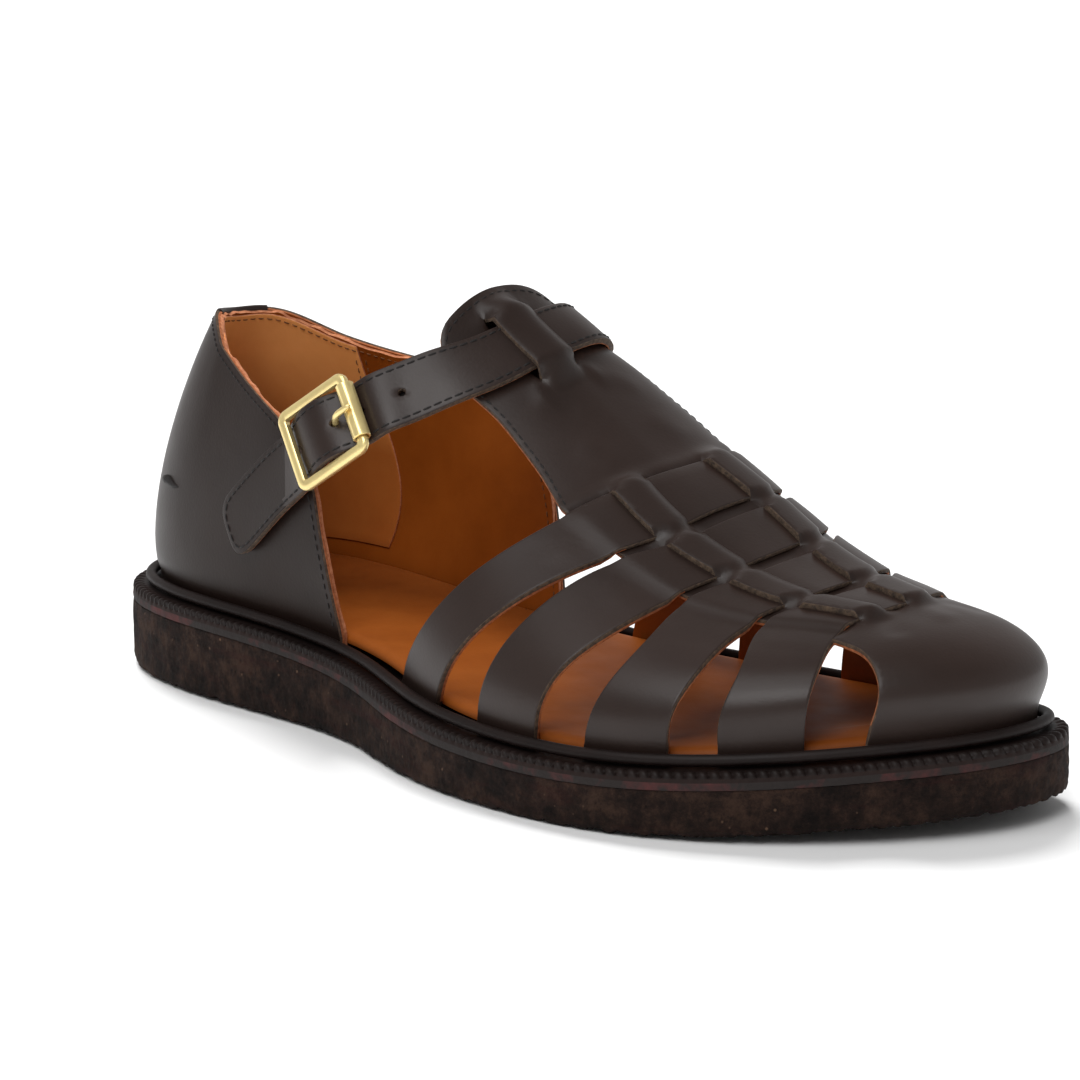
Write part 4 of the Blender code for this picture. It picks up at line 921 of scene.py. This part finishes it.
def t_bar():
    """The tongue, T-bar and toe cap in one sheet, with its slits."""
    foot_out, foot_in = [from_feather(s, TUCK) for s in (CAP_OUT[1], CAP_IN[1])]
    toe = [from_feather(s, TUCK) for s in np.linspace(ROUND + CAP_IN[1], CAP_OUT[1], 60)]
    outline = []
    for part in (by_step(TONGUE, 1.6), by_step([TONGUE[-1], *BAR_IN, CAP_IN[0][0]], 1.5),
                 by_step([*CAP_IN[0], foot_in], 1.6), toe,
                 by_step([foot_out, *CAP_OUT[0][::-1]], 1.6),
                 by_step([CAP_OUT[0][0], *BAR_OUT[::-1], TONGUE[0]], 1.5)):
        outline += part[:-1]
    slits = [slit_loop(1), slit_loop(-1)]
    slits += [loop_slit(row, side, sign) for row in range(1, 5)
              for side, sign in ((0, -1), (1, 1), (2, -1), (3, 1))]
    lines = [[(p, float(v)) for v in BAND_MID + sign * np.linspace(0.3, BAND_HALF - 0.8, 5)]
             for p in (SLITS[0] - 1, SLITS[0] + 1, SLITS[1] - 1, SLITS[1] + 1)
             for sign in (-1, 1)]
    sheet("t_bar_and_toe_cap", outline, slits, lines, 1.15, bar_place, 0.22,
          plain_edge=lambda x, y: abs(y) < 14 or x > 246 or abs(y - BAND_MID) < BAND_HALF + 1)


def band_slit_shade_patch():
    """A dark leather sheet behind the instep band's slits, standing in for the shade seen through
    them.
    """
    p, q = np.meshgrid(np.linspace(105.6, 128.4, 16), np.linspace(-12.5, 6.0, 12), indexing="ij")
    plate("band_slit_shade_patch", p, q, -1.86, 0.5, [DARK, DARK, TAN, CUT_TAN], 0.1)


def t_bar_stitches():
    edge = smooth_line(TONGUE, 120)
    d = unit(np.gradient(edge, axis=0))
    side = edge + np.stack([d[:, 1], -d[:, 0]], 1) * 1.25
    on, n = laid_line(side, bar_top(*side.T))
    stitches("t_bar_stitching", [(on, n)], 2.5, 2.2, 0.22, sink=0.12)


# ------------------------------------------------------------------ quarters
ON_LINING = -2.26         # the lining's inner face, from the leather's outer face
ON_HEEL_LINING = -2.75    # and the heel piece's


def topline(count):
    """The quarters' edge from foot to foot, as place and height, and the way in from it."""
    line = smooth_line([(QUARTER_FEET[0], -0.5), *TOPLINE, (QUARTER_FEET[1], -0.5)], count)
    d = unit(np.gradient(line, axis=0))
    inward = np.stack([d[:, 1], -d[:, 0]], 1)
    return line, -inward if (line + inward)[count // 2, 1] > line[count // 2, 1] else inward


def quarter_grid(drop, rows):
    """Pattern points over the quarters; drop lowers the top edge."""
    line, inward = topline(150)
    top = line + inward * drop
    low = np.linspace(*QUARTER_FEET, len(line))
    low -= np.sign(low) * drop
    share = np.concatenate([[0, 0.006, 0.02], np.linspace(0.045, 1, rows - 3)])
    grid = [[from_feather(float(s + (end - s) * w), float(h + (TUCK - h) * w)) for w in share]
            for (s, h), end in zip(top, low)]
    return np.moveaxis(np.array(grid), 2, 0)


def quarters():
    """The quarters' leather, the lining with its rough edge, and the stitches of both."""
    p, q = quarter_grid(0.0, 26)
    # The quarter's face takes the painted-shade copy of the dark leather.
    obj = plate("quarter_outer", p, q, 0.0, 1.25, [DARK_SHADED, CUT, TAN, CUT_TAN], 0.35)
    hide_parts("upper")
    p, q = quarter_grid(0.3, 22)
    ragged = np.array([noise.noise(Vector((i * 0.33, 0.5, 2.0))) for i in range(len(p))])
    ragged = np.clip(ragged, -0.6, 0.35) * 1.1
    step = unit(np.stack([p[:, 3] - p[:, 0], q[:, 3] - q[:, 0]], 1))
    for j, share in ((0, 1.0), (1, 0.9), (2, 0.6)):
        p[:, j] += step[:, 0] * ragged * share
        q[:, j] += step[:, 1] * ragged * share
    plate("quarter_lining", p, q, -1.28, 0.95, [RAW, RAW, TAN, RAW], 0.15, slot="tan_leather")
    line, inward = topline(260)
    row = (line + inward * 1.7)[2:-2]
    pq = np.array([from_feather(float(s), float(h)) for s, h in row])
    stitches("topline_stitching", [laid_line(pq, 0.0)], 2.3, 1.8, 0.2)
    rows = [(pq, np.where(np.abs(row[:, 0]) < 53.0, ON_HEEL_LINING, ON_LINING))]
    for s, lift in ((-52.2, ON_HEEL_LINING), (-54.8, ON_LINING)):
        rows.append((np.array([from_feather(s, h) for h in np.linspace(52, 30, 30)]), lift))
    seams = [laid_line(*item) for item in rows]
    stitches("lining_stitching", [(on, -n) for on, n in seams], 2.1, 1.5, 0.17, TAN_THREAD)


# The heel piece of the lining: the place of its front edge at each height.
HEEL_LINING = ((53.2, 60), (53.3, 54), (54, 46), (56.8, 36), (59.6, 26), (60.8, 16), (59, 7),
               (56, -1))


def top_height(reach):
    """The topline's height near the heel."""
    return profile(sorted([(s, h) for s, h in TOPLINE if -reach < s < reach]))


def heel_lining():
    """The paler heel piece of the lining: its front edge curves forward below the seam."""
    front = profile(sorted((h, s) for s, h in HEEL_LINING))
    top_fn = top_height(70)
    grid = []
    for k in np.linspace(-1, 1, 90):
        for w in np.concatenate([[0, 0.01], np.linspace(0.03, 1, 22)]):
            s = 0.0
            for _ in range(3):
                h = (float(top_fn(s)) - 0.5) * (1 - w) + 3.0 * w
                s = float(front(h)) * -k
            grid.append(from_feather(s, h))
    p, q = np.array(grid).T.reshape(2, 90, 24)
    plate("heel_lining", p, q, -2.2, 0.5, [TAN_PALE, RAW, TAN_PALE, RAW], 0.1, slot="tan_leather")


def heel_mark():
    """A short dark tapered line on the back of the quarter."""
    line = smooth_line(((-4, -56.6), (4, -61.2), (12, -65.0), (17, -66.4)), 20)
    radius = np.interp(np.arange(20), (0, 4, 14, 19), (1.0, 1.2, 0.6, 0.1))
    thing("heel_mark", *tube(laid_line(line, 0.03)[0], radius, 8), [THREAD])


def heel_tab():
    """The small dark binding folded over the leather's edge at the back."""
    top_fn = top_height(60)
    section = ((-2.8, 0.2), (-1.5, 0.34), (-0.4, 0.4), (0.3, 0.15), (0.55, -0.4), (0.45, -1.0),
               (0.0, -1.34), (-0.7, -1.36), (-0.7, -1.22), (0.0, -1.1), (-0.1, 0.0), (-2.8, 0.0))
    loops = []
    for s in np.linspace(16, -16, 40):
        top = float(top_fn(s))
        pq = [from_feather(float(s), min(top + h, top - 0.05)) for h, _ in section]
        ring = laid_line(np.array(pq), [lift for _, lift in section])[0]
        ring[:, 2] += [max(0.0, h) for h, _ in section]
        loops.append(ring)
    thing("heel_binding", *loft(loops, False), [DARK], slot="dark_leather")


# ------------------------------------------------------------------ ankle strap
STRAP_HALF = 7.4         # half the ankle strap's width
STRAP_THICK = 1.8
STITCH_IN = 1.35         # the strap's stitches run this far from its edge
FREE_END_X = -0.0463     # the free end lies behind this, in metres, and is lit less
# Pattern points of the strap's upper and lower side, its underside's lift and half its width,
# from the inner quarter over the T-bar to the outer side; then, past the buckle, the free end.
STRAP_ON = (((71.5, 53.5), (83.5, 63.5), 0.9, 7.4), ((84.0, 44.0), (95.0, 53.0), 0.9, 7.4),
            ((94.0, 34.2), (105.2, 40.2), 0.1, 7.4), ((102.4, 25.2), (115.0, 28.4), 0.1, 7.4),
            ((108.0, 16.0), (121.0, 16.0), 0.6, 7.0), ((110.0, 6.0), (123.1, 6.0), 0.7, 6.8),
            ((110.4, -6.0), (123.9, -6.2), 0.7, 6.8), ((108.6, -16.0), (122.4, -16.8), 0.7, 7.1),
            ((105.0, -25.0), (117.4, -28.6), 0.85, 7.3), ((99.9, -34.6), (111.2, -40.6), 0.9, 7.4))
STRAP_OFF = (((73.3, -62.6), (80.8, -75.2), 1.25, 7.4), ((65.6, -66.8), (73.1, -79.5), 0.9, 7.4),
             ((58.0, -70.4), (65.3, -84.4), 0.8, 7.4))
BUCKLE_AT = (92.2, -57.9)
BUCKLE_TO = (99.8, -48.0)
BUCKLE_LEAN = 0.08    # the roller's side lies closer to the foot
FRAME_LONG = 21.4     # outside sizes, along and across the strap
FRAME_WIDE = 20.6
WIRE = 1.2
FRAME_LIFT = 5.2
BAR_R = 0.9
BAR_LIFT = 2.7
ROLLER_R = 2.1
ROLLER_BORE = 1.6
ROLLER_HALF = 6.9
PRONG_R = 0.75
CHAPE_THICK = 0.9
CHAPE_HALF = 6.4
# The strap's underside past the buckle: distance along it from the centre bar, lift there.
STRAP_BUCKLE = ((12.6, 0.9), (8.8, 1.0), (4.6, 3.4), (0.0, 5.35), (-4.6, 4.3), (-8.6, 1.75))
# Holes: distance along the strap from the buckle's centre bar, to the free end positive.
STRAP_HOLES = (-20.2, -11.0, -3.4, 7.2)


def buckle_axes():
    """The buckle's own axes: along the strap to the instep, across it, and out of the shoe."""
    at, n = laid_line(np.array([BUCKLE_AT, BUCKLE_TO]), 0.0)
    n = n[0]
    u = at[1] - at[0]
    u = unit(u - n * (u @ n))
    n = unit(n + u * BUCKLE_LEAN)
    u = unit(u - n * (u @ n))
    return at[0], u, np.cross(n, u), n


ORIGIN, ALONG, ACROSS, OUT = buckle_axes()


def at_buckle(u, v, w):
    return ORIGIN + ALONG * u + ACROSS * v + OUT * w


def strap_pair(a, b, lift, half):
    pair = laid_line(np.array([a, b]), lift)[0]
    across = unit(pair[1] - pair[0]) * half
    return pair.mean(0) - across, pair.mean(0) + across


def strap_run():
    """The strap's course: place(s, v) for distance along it and across it, its length, and
    the distance of the buckle's centre bar."""
    sides = [strap_pair(*row) for row in STRAP_ON]
    for u, w in STRAP_BUCKLE:
        sides.append([at_buckle(u, v, w) for v in (STRAP_HALF, -STRAP_HALF)])
    sides += [strap_pair(*row) for row in STRAP_OFF]
    up, lo = np.moveaxis(np.array(sides), 1, 0)
    mid = (up + lo) / 2
    s = walked(mid)
    fm = splines(s, mid)
    fh = splines(s, (lo - up) / 2)
    bar = s[len(STRAP_ON) + 3]

    def place(x, y):
        x = np.asarray(x, float)
        y = np.asarray(y, float)
        w = np.clip(x, 0.0, s[-1])
        run = read(fm, w + 0.2) - read(fm, w - 0.2)
        end = read(fm, s[-1:]) - read(fm, s[-1:] - 0.5)
        run = unit(np.where((w > s[-1] - 0.5)[:, None], end, run))
        h = read(fh, w) / STRAP_HALF
        n = unit(np.cross(run, h))
        at = read(fm, w) + h * y[:, None] + run * (x - w)[:, None]
        ease = 0.12 * np.cos(np.clip(y / STRAP_HALF, -1, 1) * math.pi / 2)
        sag = soft((x - bar - 13) / 14) * 0.3 * (y / STRAP_HALF) ** 2
        low = at + n * sag[:, None]
        return low + n * (STRAP_THICK + ease)[:, None], low
    return place, s[-1], bar


def circle(x, y, r, count=20):
    return [(x + r * math.cos(2 * math.pi * k / count), y + r * math.sin(2 * math.pi * k / count))
            for k in range(count)]


def ankle_strap():
    """The ankle strap with its stitches, and painted shadows: dark plugs in its holes."""
    place, length, bar = strap_run()
    half = STRAP_HALF

    def nose(by):
        a = np.linspace(-math.pi / 2, math.pi / 2, 21)
        reach = 9.8 - by
        return [(length - 1.0 + reach * max(0.0, math.cos(v)) ** 0.6,
                 (half - by) * math.copysign(abs(math.sin(v)) ** 0.6, v)) for v in a]
    side = [float(x) for x in np.arange(0, length - 1.5, 2.0)]
    outline = [(x, -half) for x in side] + nose(0.0) + [(x, half) for x in side[::-1]]
    holes = [circle(bar + h, 0.0, 0.85) for h in STRAP_HOLES]
    obj = sheet("ankle_strap_detail", outline, holes, [], 1.6, place, 0.3, pale=0.2)
    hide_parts("ankle_strap")
    # Painted shade: the free end's face past FREE_END_X takes the darker, less shiny copy of the
    # leather.
    obj.data.materials.append(DARK_SHADED)
    for face in obj.data.polygons:
        if face.material_index == 0 and face.center.y < 0 and face.center.x < FREE_END_X:
            face.material_index = len(LEATHER)
    x = np.arange(1, length - 1.5, 1.5)
    row = [*[(v, STITCH_IN - half) for v in x], *nose(STITCH_IN),
           *[(v, half - STITCH_IN) for v in x[::-1]]]
    top, low = place(*np.array(row).T)
    stitches("ankle_strap_stitching", [(top, unit(top - low))], 2.55, 2.35, 0.24)
    plugs = []
    for h in STRAP_HOLES:
        top, low = place(*np.array(circle(bar + h, 0.0, 1.25, 12)).T)
        plugs.append(loft([low - (top - low) * 0.04, low - (top - low) * 0.12], False))
    thing("strap_hole_shadows", *merge(plugs), [THREAD])


def rounded(hu, hv, r):
    """A rounded rectangle's points, its straight sides divided too."""
    corners = [[(cu * (hu - r) + r * math.cos(a), cv * (hv - r) + r * math.sin(a))
                for a in [math.radians(start + 90 * k / 8) for k in range(9)]]
               for cu, cv, start in ((1, 1, 0), (-1, 1, 90), (-1, -1, 180), (1, -1, 270))]
    pts = []
    for here, there in zip(corners, corners[1:] + corners[:1]):
        (u, v), (x, y) = here[-1], there[0]
        pts += here + [(u + (x - u) * k / 16, v + (y - v) * k / 16) for k in range(1, 16)]
    return pts


def buckle_frame():
    half_u = FRAME_LONG / 2 - WIRE
    half_v = FRAME_WIDE / 2 - WIRE
    section = ((-1.15, -0.75, 0.6), (-1.25, 0.0, 0.5), (-1.15, 0.75, 0.6), (-0.95, 0.92, 0.8),
               (0.0, 1.02, 1.7), (0.8, 0.86, 2.3), (1.14, 0.5, 2.6), (1.2, 0.0, 2.7),
               (1.14, -0.5, 2.6), (0.8, -0.86, 2.3), (0.0, -0.95, 1.7), (-0.95, -0.92, 0.8))
    loops = []
    for off, w, r in section:
        ring = []
        for u, v in rounded(half_u + off, half_v + off, r):
            if u > half_u - 1.6 and abs(v) < ROLLER_HALF + 0.35:
                near = soft((ROLLER_HALF + 0.35 - abs(v)) / 0.5)
                u = half_u + (u - half_u) * (1 - 0.16 * near)
            ring.append(at_buckle(u, v, FRAME_LIFT + w))
        loops.append(np.array(ring))
    end = [(half_v, FRAME_LIFT), (half_v - 0.1, 4.2), (half_v - 0.9, 3.1), (half_v - 1.7, BAR_LIFT)]
    bar = [at_buckle(0, v, w) for v, w in [(-v, w) for v, w in end] + end[::-1]]
    verts, faces = merge([loft(loops, True), tube(bar, BAR_R, 14, ALONG)])
    obj = thing("buckle_frame_detail", verts, faces, [BRASS], sharp=40, slot="brass")
    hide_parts("buckle_frame")


def buckle_roller():
    u = FRAME_LONG / 2 - WIRE
    a = np.arange(72) * 2 * math.pi / 72
    end = [(ROLLER_HALF, ROLLER_BORE, 0), (ROLLER_HALF, ROLLER_R - 0.15, 0),
           (ROLLER_HALF - 0.15, ROLLER_R, 0), (ROLLER_HALF - 0.7, ROLLER_R, 1)]
    loops = []
    for v, r, groove in [(-v, r, g) for v, r, g in end] + [(0, ROLLER_R, 1)] + end[::-1]:
        rr = r - groove * 0.05 * (0.5 + 0.5 * np.cos(a * 9))
        loops.append(np.array([at_buckle(u + q * math.cos(t), v, FRAME_LIFT + q * math.sin(t))
                               for t, q in zip(a, rr)]))
    obj = thing("buckle_roller_detail", *loft(loops, True), [BRASS], sharp=35, slot="brass")
    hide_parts("buckle_roller")


def buckle_prong():
    turn = BAR_R + 0.4 + PRONG_R
    path = [(turn * math.cos(math.radians(a)), BAR_LIFT + turn * math.sin(math.radians(a)))
            for a in (160, 195, 230, 270, 310, 345)]
    rest = FRAME_LIFT + ROLLER_R + 0.3 + PRONG_R
    path += [(2.35, 3.3), (3.3, 4.5), (4.5, 5.9), (5.6, 7.1), (6.8, 8.0), (8.3, rest), (11.2, rest)]
    pts = smooth_line([at_buckle(u, 0, w) for u, w in path], 90)
    rad = np.full(90, PRONG_R)
    rad[-8:] *= np.array([1, 0.98, 0.95, 0.9, 0.83, 0.74, 0.6, 0.35])
    verts, faces = tube(pts, rad, 14, ACROSS)
    obj = thing("buckle_prong_detail", verts, faces, [BRASS], sharp=40, slot="brass")
    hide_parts("buckle_prong")


def buckle_tab():
    """The tab that holds the centre bar: laid on the quarter, turned round the bar and back."""
    ring = BAR_R + 0.35
    out = ring + CHAPE_THICK
    leg = np.linspace(1.6, CHAPE_HALF - 0.4, 6)
    halves = np.array([-CHAPE_HALF, *-leg[::-1], *leg, CHAPE_HALF])
    share = ((halves + CHAPE_HALF) / (2 * CHAPE_HALF))[:, None]
    rows = []
    for a, b, lift in (((72.9, -62.4), (79.7, -73.2), 0.4), ((77.0, -59.9), (83.8, -70.7), 0.5)):
        pq = np.array(b) + (np.array(a) - np.array(b)) * share
        rows.append([laid_line(pq, lift + w)[0] for w in (0.0, CHAPE_THICK)])
    section = [((-6.5, 0.5), (-6.5, 1.4)), ((-3.6, 0.45), (-3.4, 1.35))]
    for a in np.radians((-110, -70, -30, 10, 50, 90, 125)):
        c, s = math.cos(a), math.sin(a)
        section.append(((out * c, BAR_LIFT + out * s), (ring * c, BAR_LIFT + ring * s)))
    section.append(((-4.4, 2.75), (-4.1, 1.85)))
    rows += [[np.array([at_buckle(u, v, w) for v in halves]) for u, w in pair] for pair in section]
    low, high = [finer(np.array([row[k] for row in rows]), 70) for k in (0, 1)]
    skip = [(i, len(halves) // 2 - 1) for i in range(20, 69)]
    verts, faces, kind = grid_mesh(low, high, skip)
    obj = thing("buckle_tab_detail", verts, faces, LEATHER, kind, 0.2, slot="dark_leather")
    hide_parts("buckle_tab")


def finer(grid, count):
    """A grid of points with its rows read again at equal steps along smooth lines."""
    return np.stack([smooth_line(grid[:, j], count) for j in range(grid.shape[1])], 1)


# ------------------------------------------------------------------ insole, welt, rand, sole
WELT_BOTTOM = -6.6    # heights from the foot bed
SOLE_TOP = -6.9
SOLE_STEP = -5.1
RIBS = 244            # notches round the welt
CORD_R = 1.3
# The tread's height by x: flat to the ball of the foot, then the toe spring.
TREAD = ((-10, 0.0), (180, 0.0), (205, 0.3), (225, 1.6), (245, 3.4), (262, 5.2))


def across_cap(count, base, flip):
    """Quads that close a ring of points across the shoe."""
    faces = []
    for i in range(count // 2):
        ring = dict.fromkeys((i, i + 1, (count - i - 1) % count, (count - i) % count))
        if len(ring) > 2:
            faces.append(tuple(base + v for v in ring)[::-1 if flip else 1])
    return faces


def capped(loops):
    """Rings lofted from one to the next, with both ends closed across the shoe."""
    verts, faces = loft(loops, True)
    count = len(loops[0])
    last = (len(loops) - 1) * count
    return verts, faces[:last] + across_cap(count, 0, True) + across_cap(count, last, False)


def foot_ring(count, off, height):
    """A ring round the feather line, pushed out by off, at a height from the foot bed."""
    xy, x = feather_ring(count, off)
    return np.column_stack([xy, FN["foot"](x) + height])


def insole():
    rows = ((-14.0, -3.9), (-9.4, -3.9), (-9.2, -2.0), (-2.7, -2.0), (-2.35, -1.85), (-2.35, -1.4),
            (-2.7, -0.8), (-3.3, -0.35), (-4.2, -0.05), (-5.5, 0.05), (-9.0, -0.1), (-14.0, -0.2))
    verts, faces = capped([foot_ring(360, *row) for row in rows])
    obj = thing("insole_detail", verts, faces, [INSOLE], sharp=60, slot="tan_leather")
    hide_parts("insole")


def rough(points, size, seed):
    """Layered noise for each point, with features of a size in millimetres."""
    return np.array([noise.fractal(Vector((x / size, y / size, z / size + seed)), 0.9, 2.1, 4)
                     for x, y, z in points])


def welt():
    """The welt: wheel notches round its upper edge, and a plain side down to the sole."""
    per = 8
    count = RIBS * per
    phase = np.arange(count) / per
    loops = []
    # For each ring: distance out, height, depth of the notch and how far it leans.
    rows = ((0.6, WELT_BOTTOM, 0, 0), (5.8, WELT_BOTTOM, 0, 0), (6.4, WELT_BOTTOM - 0.3, 0, 0),
            (6.72, WELT_BOTTOM - 0.25, 0, 0), (6.8, WELT_BOTTOM + 0.5, 0, 0), (6.76, -5.2, 0, 0),
            (6.74, -4.6, 0, 0), (6.78, -4.3, 0.7, 0), (6.76, -3.9, 1, 0.05),
            (6.6, -3.4, 1, 0.12), (6.2, -3.05, 1, 0.18), (5.6, -2.9, 1, 0.24),
            (5.0, -2.95, 0.9, 0.3), (4.5, -3.1, 0.6, 0.34), (4.2, -3.25, 0.15, 0.36),
            (3.8, -3.3, 0, 0), (0.6, -3.2, 0, 0))
    for off, height, deep, lean in rows:
        xy, x = feather_ring(count, off)
        inner = feather_ring(count, off - 1.0)[0]
        w = (phase + lean) % 1.0
        notch = np.exp(-((np.minimum(w, 1 - w)) / 0.2) ** 2) * deep
        xy = xy + (inner - xy) * (0.7 * notch)[:, None]
        if deep == 0 and off > 6:
            cut = rough(np.column_stack([xy, np.full(count, height)]), 2.0, 3.1) * 0.1
            xy = xy + (xy - inner) * cut[:, None]
        loops.append(np.column_stack([xy, FN["foot"](x) + height - 0.5 * notch * (height > -4.2)]))
    verts, faces = loft(loops, True)
    pick = [2 if 1 <= i // count <= 4 else 1 if i // count < 7 else 0 for i in range(len(faces))]
    obj = thing("welt_detail", verts, faces, [WELT, WELT_SIDE, GLUE], pick, sharp=55,
                slot="welt_rubber")
    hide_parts("welt")


def rand():
    """The cord between the welt and the upper."""
    loops = []
    for a in 2 * math.pi * np.arange(18) / 18:
        xy, x = feather_ring(480, 2.35 + CORD_R * math.cos(a))
        wob = np.array([0.05 * noise.noise(Vector((*(p * 0.15), 3.0))) for p in xy])
        loops.append(np.column_stack([xy, FN["foot"](x) - 1.4 + CORD_R * math.sin(a) + wob]))
    obj = thing("rand_detail", *loft(loops, True), [WELT], slot="welt_rubber")
    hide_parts("rand")


def outsole():
    """The crepe sole: a rough side, and a ragged lower edge."""
    tread = profile(TREAD)
    count = 1300
    xy, x = feather_ring(count, -14.0)
    loops = [np.column_stack([xy, tread(xy[:, 0]) + 0.6])]
    rows = [(4.2, 0.0), (5.6, 0.02)]
    for part in np.linspace(0.04, 0.985, 17):
        bulge = SOLE_OUT + 0.1 - 0.55 * (1 - soft(part / 0.16)) - 0.06 * soft((part - 0.88) / 0.12)
        rows.append((bulge, float(part)))
    rows.append((SOLE_OUT - 0.35, 1.0))
    for off, part in rows:
        xy, x = feather_ring(count, off)
        low = tread(xy[:, 0])
        z = low + (FN["foot"](x) + SOLE_TOP - low) * part
        pts = np.column_stack([xy, z])
        if 0.03 < part < 1.0:
            big = rough(np.column_stack([xy, z * 0.55]), 6.0, 1.3) * 0.16
            fine = rough(pts, 1.8, 7.7) * 0.17
            pts[:, :2] += (xy - feather_ring(count, off - 1.0)[0]) * (big + fine)[:, None]
        if part < 0.1:
            edge = rough(np.column_stack([xy, np.zeros(count)]), 2.6, 5.1)
            pts[:, 2] += np.clip(edge + 0.3, 0, 1.0) * 1.35 * (1 - part / 0.1)
        loops.append(pts)
    loops += [foot_ring(count, *row) for row in ((0.2, SOLE_TOP), (-0.3, SOLE_STEP),
                                                 (-14.0, SOLE_STEP))]
    obj = thing("outsole_detail", *capped(loops), [CREPE], slot="crepe_rubber")
    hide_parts("outsole")


# ------------------------------------------------------------------ stage
def stage():
    mesh = bpy.data.meshes.new("floor")
    z = CAD_BOX[0][2] - 0.0001
    mesh.from_pydata([(-6, -6, z), (6, -6, z), (6, 6, z), (-6, 6, z)], [], [(0, 1, 2, 3)])
    floor = bpy.data.objects.new("floor", mesh)
    m, t, b, co = nodes_for("floor", 0.9)
    feed(t, b, {"Base Color": ramp_node(t, noise_node(t, co, 3, 2), ((0.3, 0.86), (0.7, 0.88)))})
    mesh.materials.append(m)
    bpy.context.scene.collection.objects.link(floor)


def aim(obj, at):
    d = Vector(at) - obj.location
    obj.rotation_euler = d.to_track_quat("-Z", "Y").to_euler()


def studio_world():
    """White low down and behind the shoe, dimmer overhead and towards the toe."""
    world = bpy.data.worlds.new("studio")
    bpy.context.scene.world = world
    world.use_nodes = True
    t = world.node_tree
    co = node(t, "TexCoord", {}).outputs["Generated"]
    high = ramp_node(t, node(t, "SeparateXYZ", {"Vector": co}).outputs["Z"],
                     ((0.0, 0.9), (0.5, 0.8), (0.78, 0.32), (1.0, 0.25)))
    dot = node(t, "VectorMath", {})
    dot.operation = "DOT_PRODUCT"
    feed(t, dot, {0: co, 1: (-0.40, 0.92, 0.0)})
    side = range_node(t, dot.outputs["Value"], 0.35, 0.74, -0.8, 0.9)
    feed(t, t.nodes["Background"], {"Color": (1.0, 1.0, 1.0, 1.0),
                                    "Strength": times_node(t, high, side)})


def sun(name, toward, energy, wide, shiny=True):
    data = bpy.data.lights.new(name, "SUN")
    data.energy = energy
    data.angle = math.radians(wide)
    obj = bpy.data.objects.new(name, data)
    bpy.context.scene.collection.objects.link(obj)
    obj.location = toward
    obj.visible_glossy = shiny
    aim(obj, (0, 0, 0))


def lights():
    studio_world()
    sun("key_behind", (-0.56, 0.30, 0.77), 3.3, 24, False)
    sun("soft_overhead", (-0.08, -0.38, 0.92), 0.9, 42)
    sun("front_fill", (0.30, -0.62, 0.72), 1.1, 30)


AIM = (0.004, 0.0, 0.046)


def camera():
    cam = bpy.data.cameras.new("camera")
    cam.lens = 147.0
    cam.sensor_width = 36.0
    cam.clip_start = 0.05
    obj = bpy.data.objects.new("camera", cam)
    obj.location = (0.6982, -0.6803, 0.2462)
    bpy.context.scene.collection.objects.link(obj)
    aim(obj, AIM)
    bpy.context.scene.camera = obj


# ------------------------------------------------------------------ making
for make in (quarters, heel_lining, heel_mark, heel_tab, t_bar, band_slit_shade_patch, t_bar_stitches,
             cross_straps, ankle_strap, buckle_frame, buckle_roller, buckle_prong, buckle_tab,
             insole, welt, rand, outsole, stage, lights, camera):
    make()
bpy.context.scene.view_settings.view_transform = "Standard"
bpy.context.scene.view_settings.look = "None"
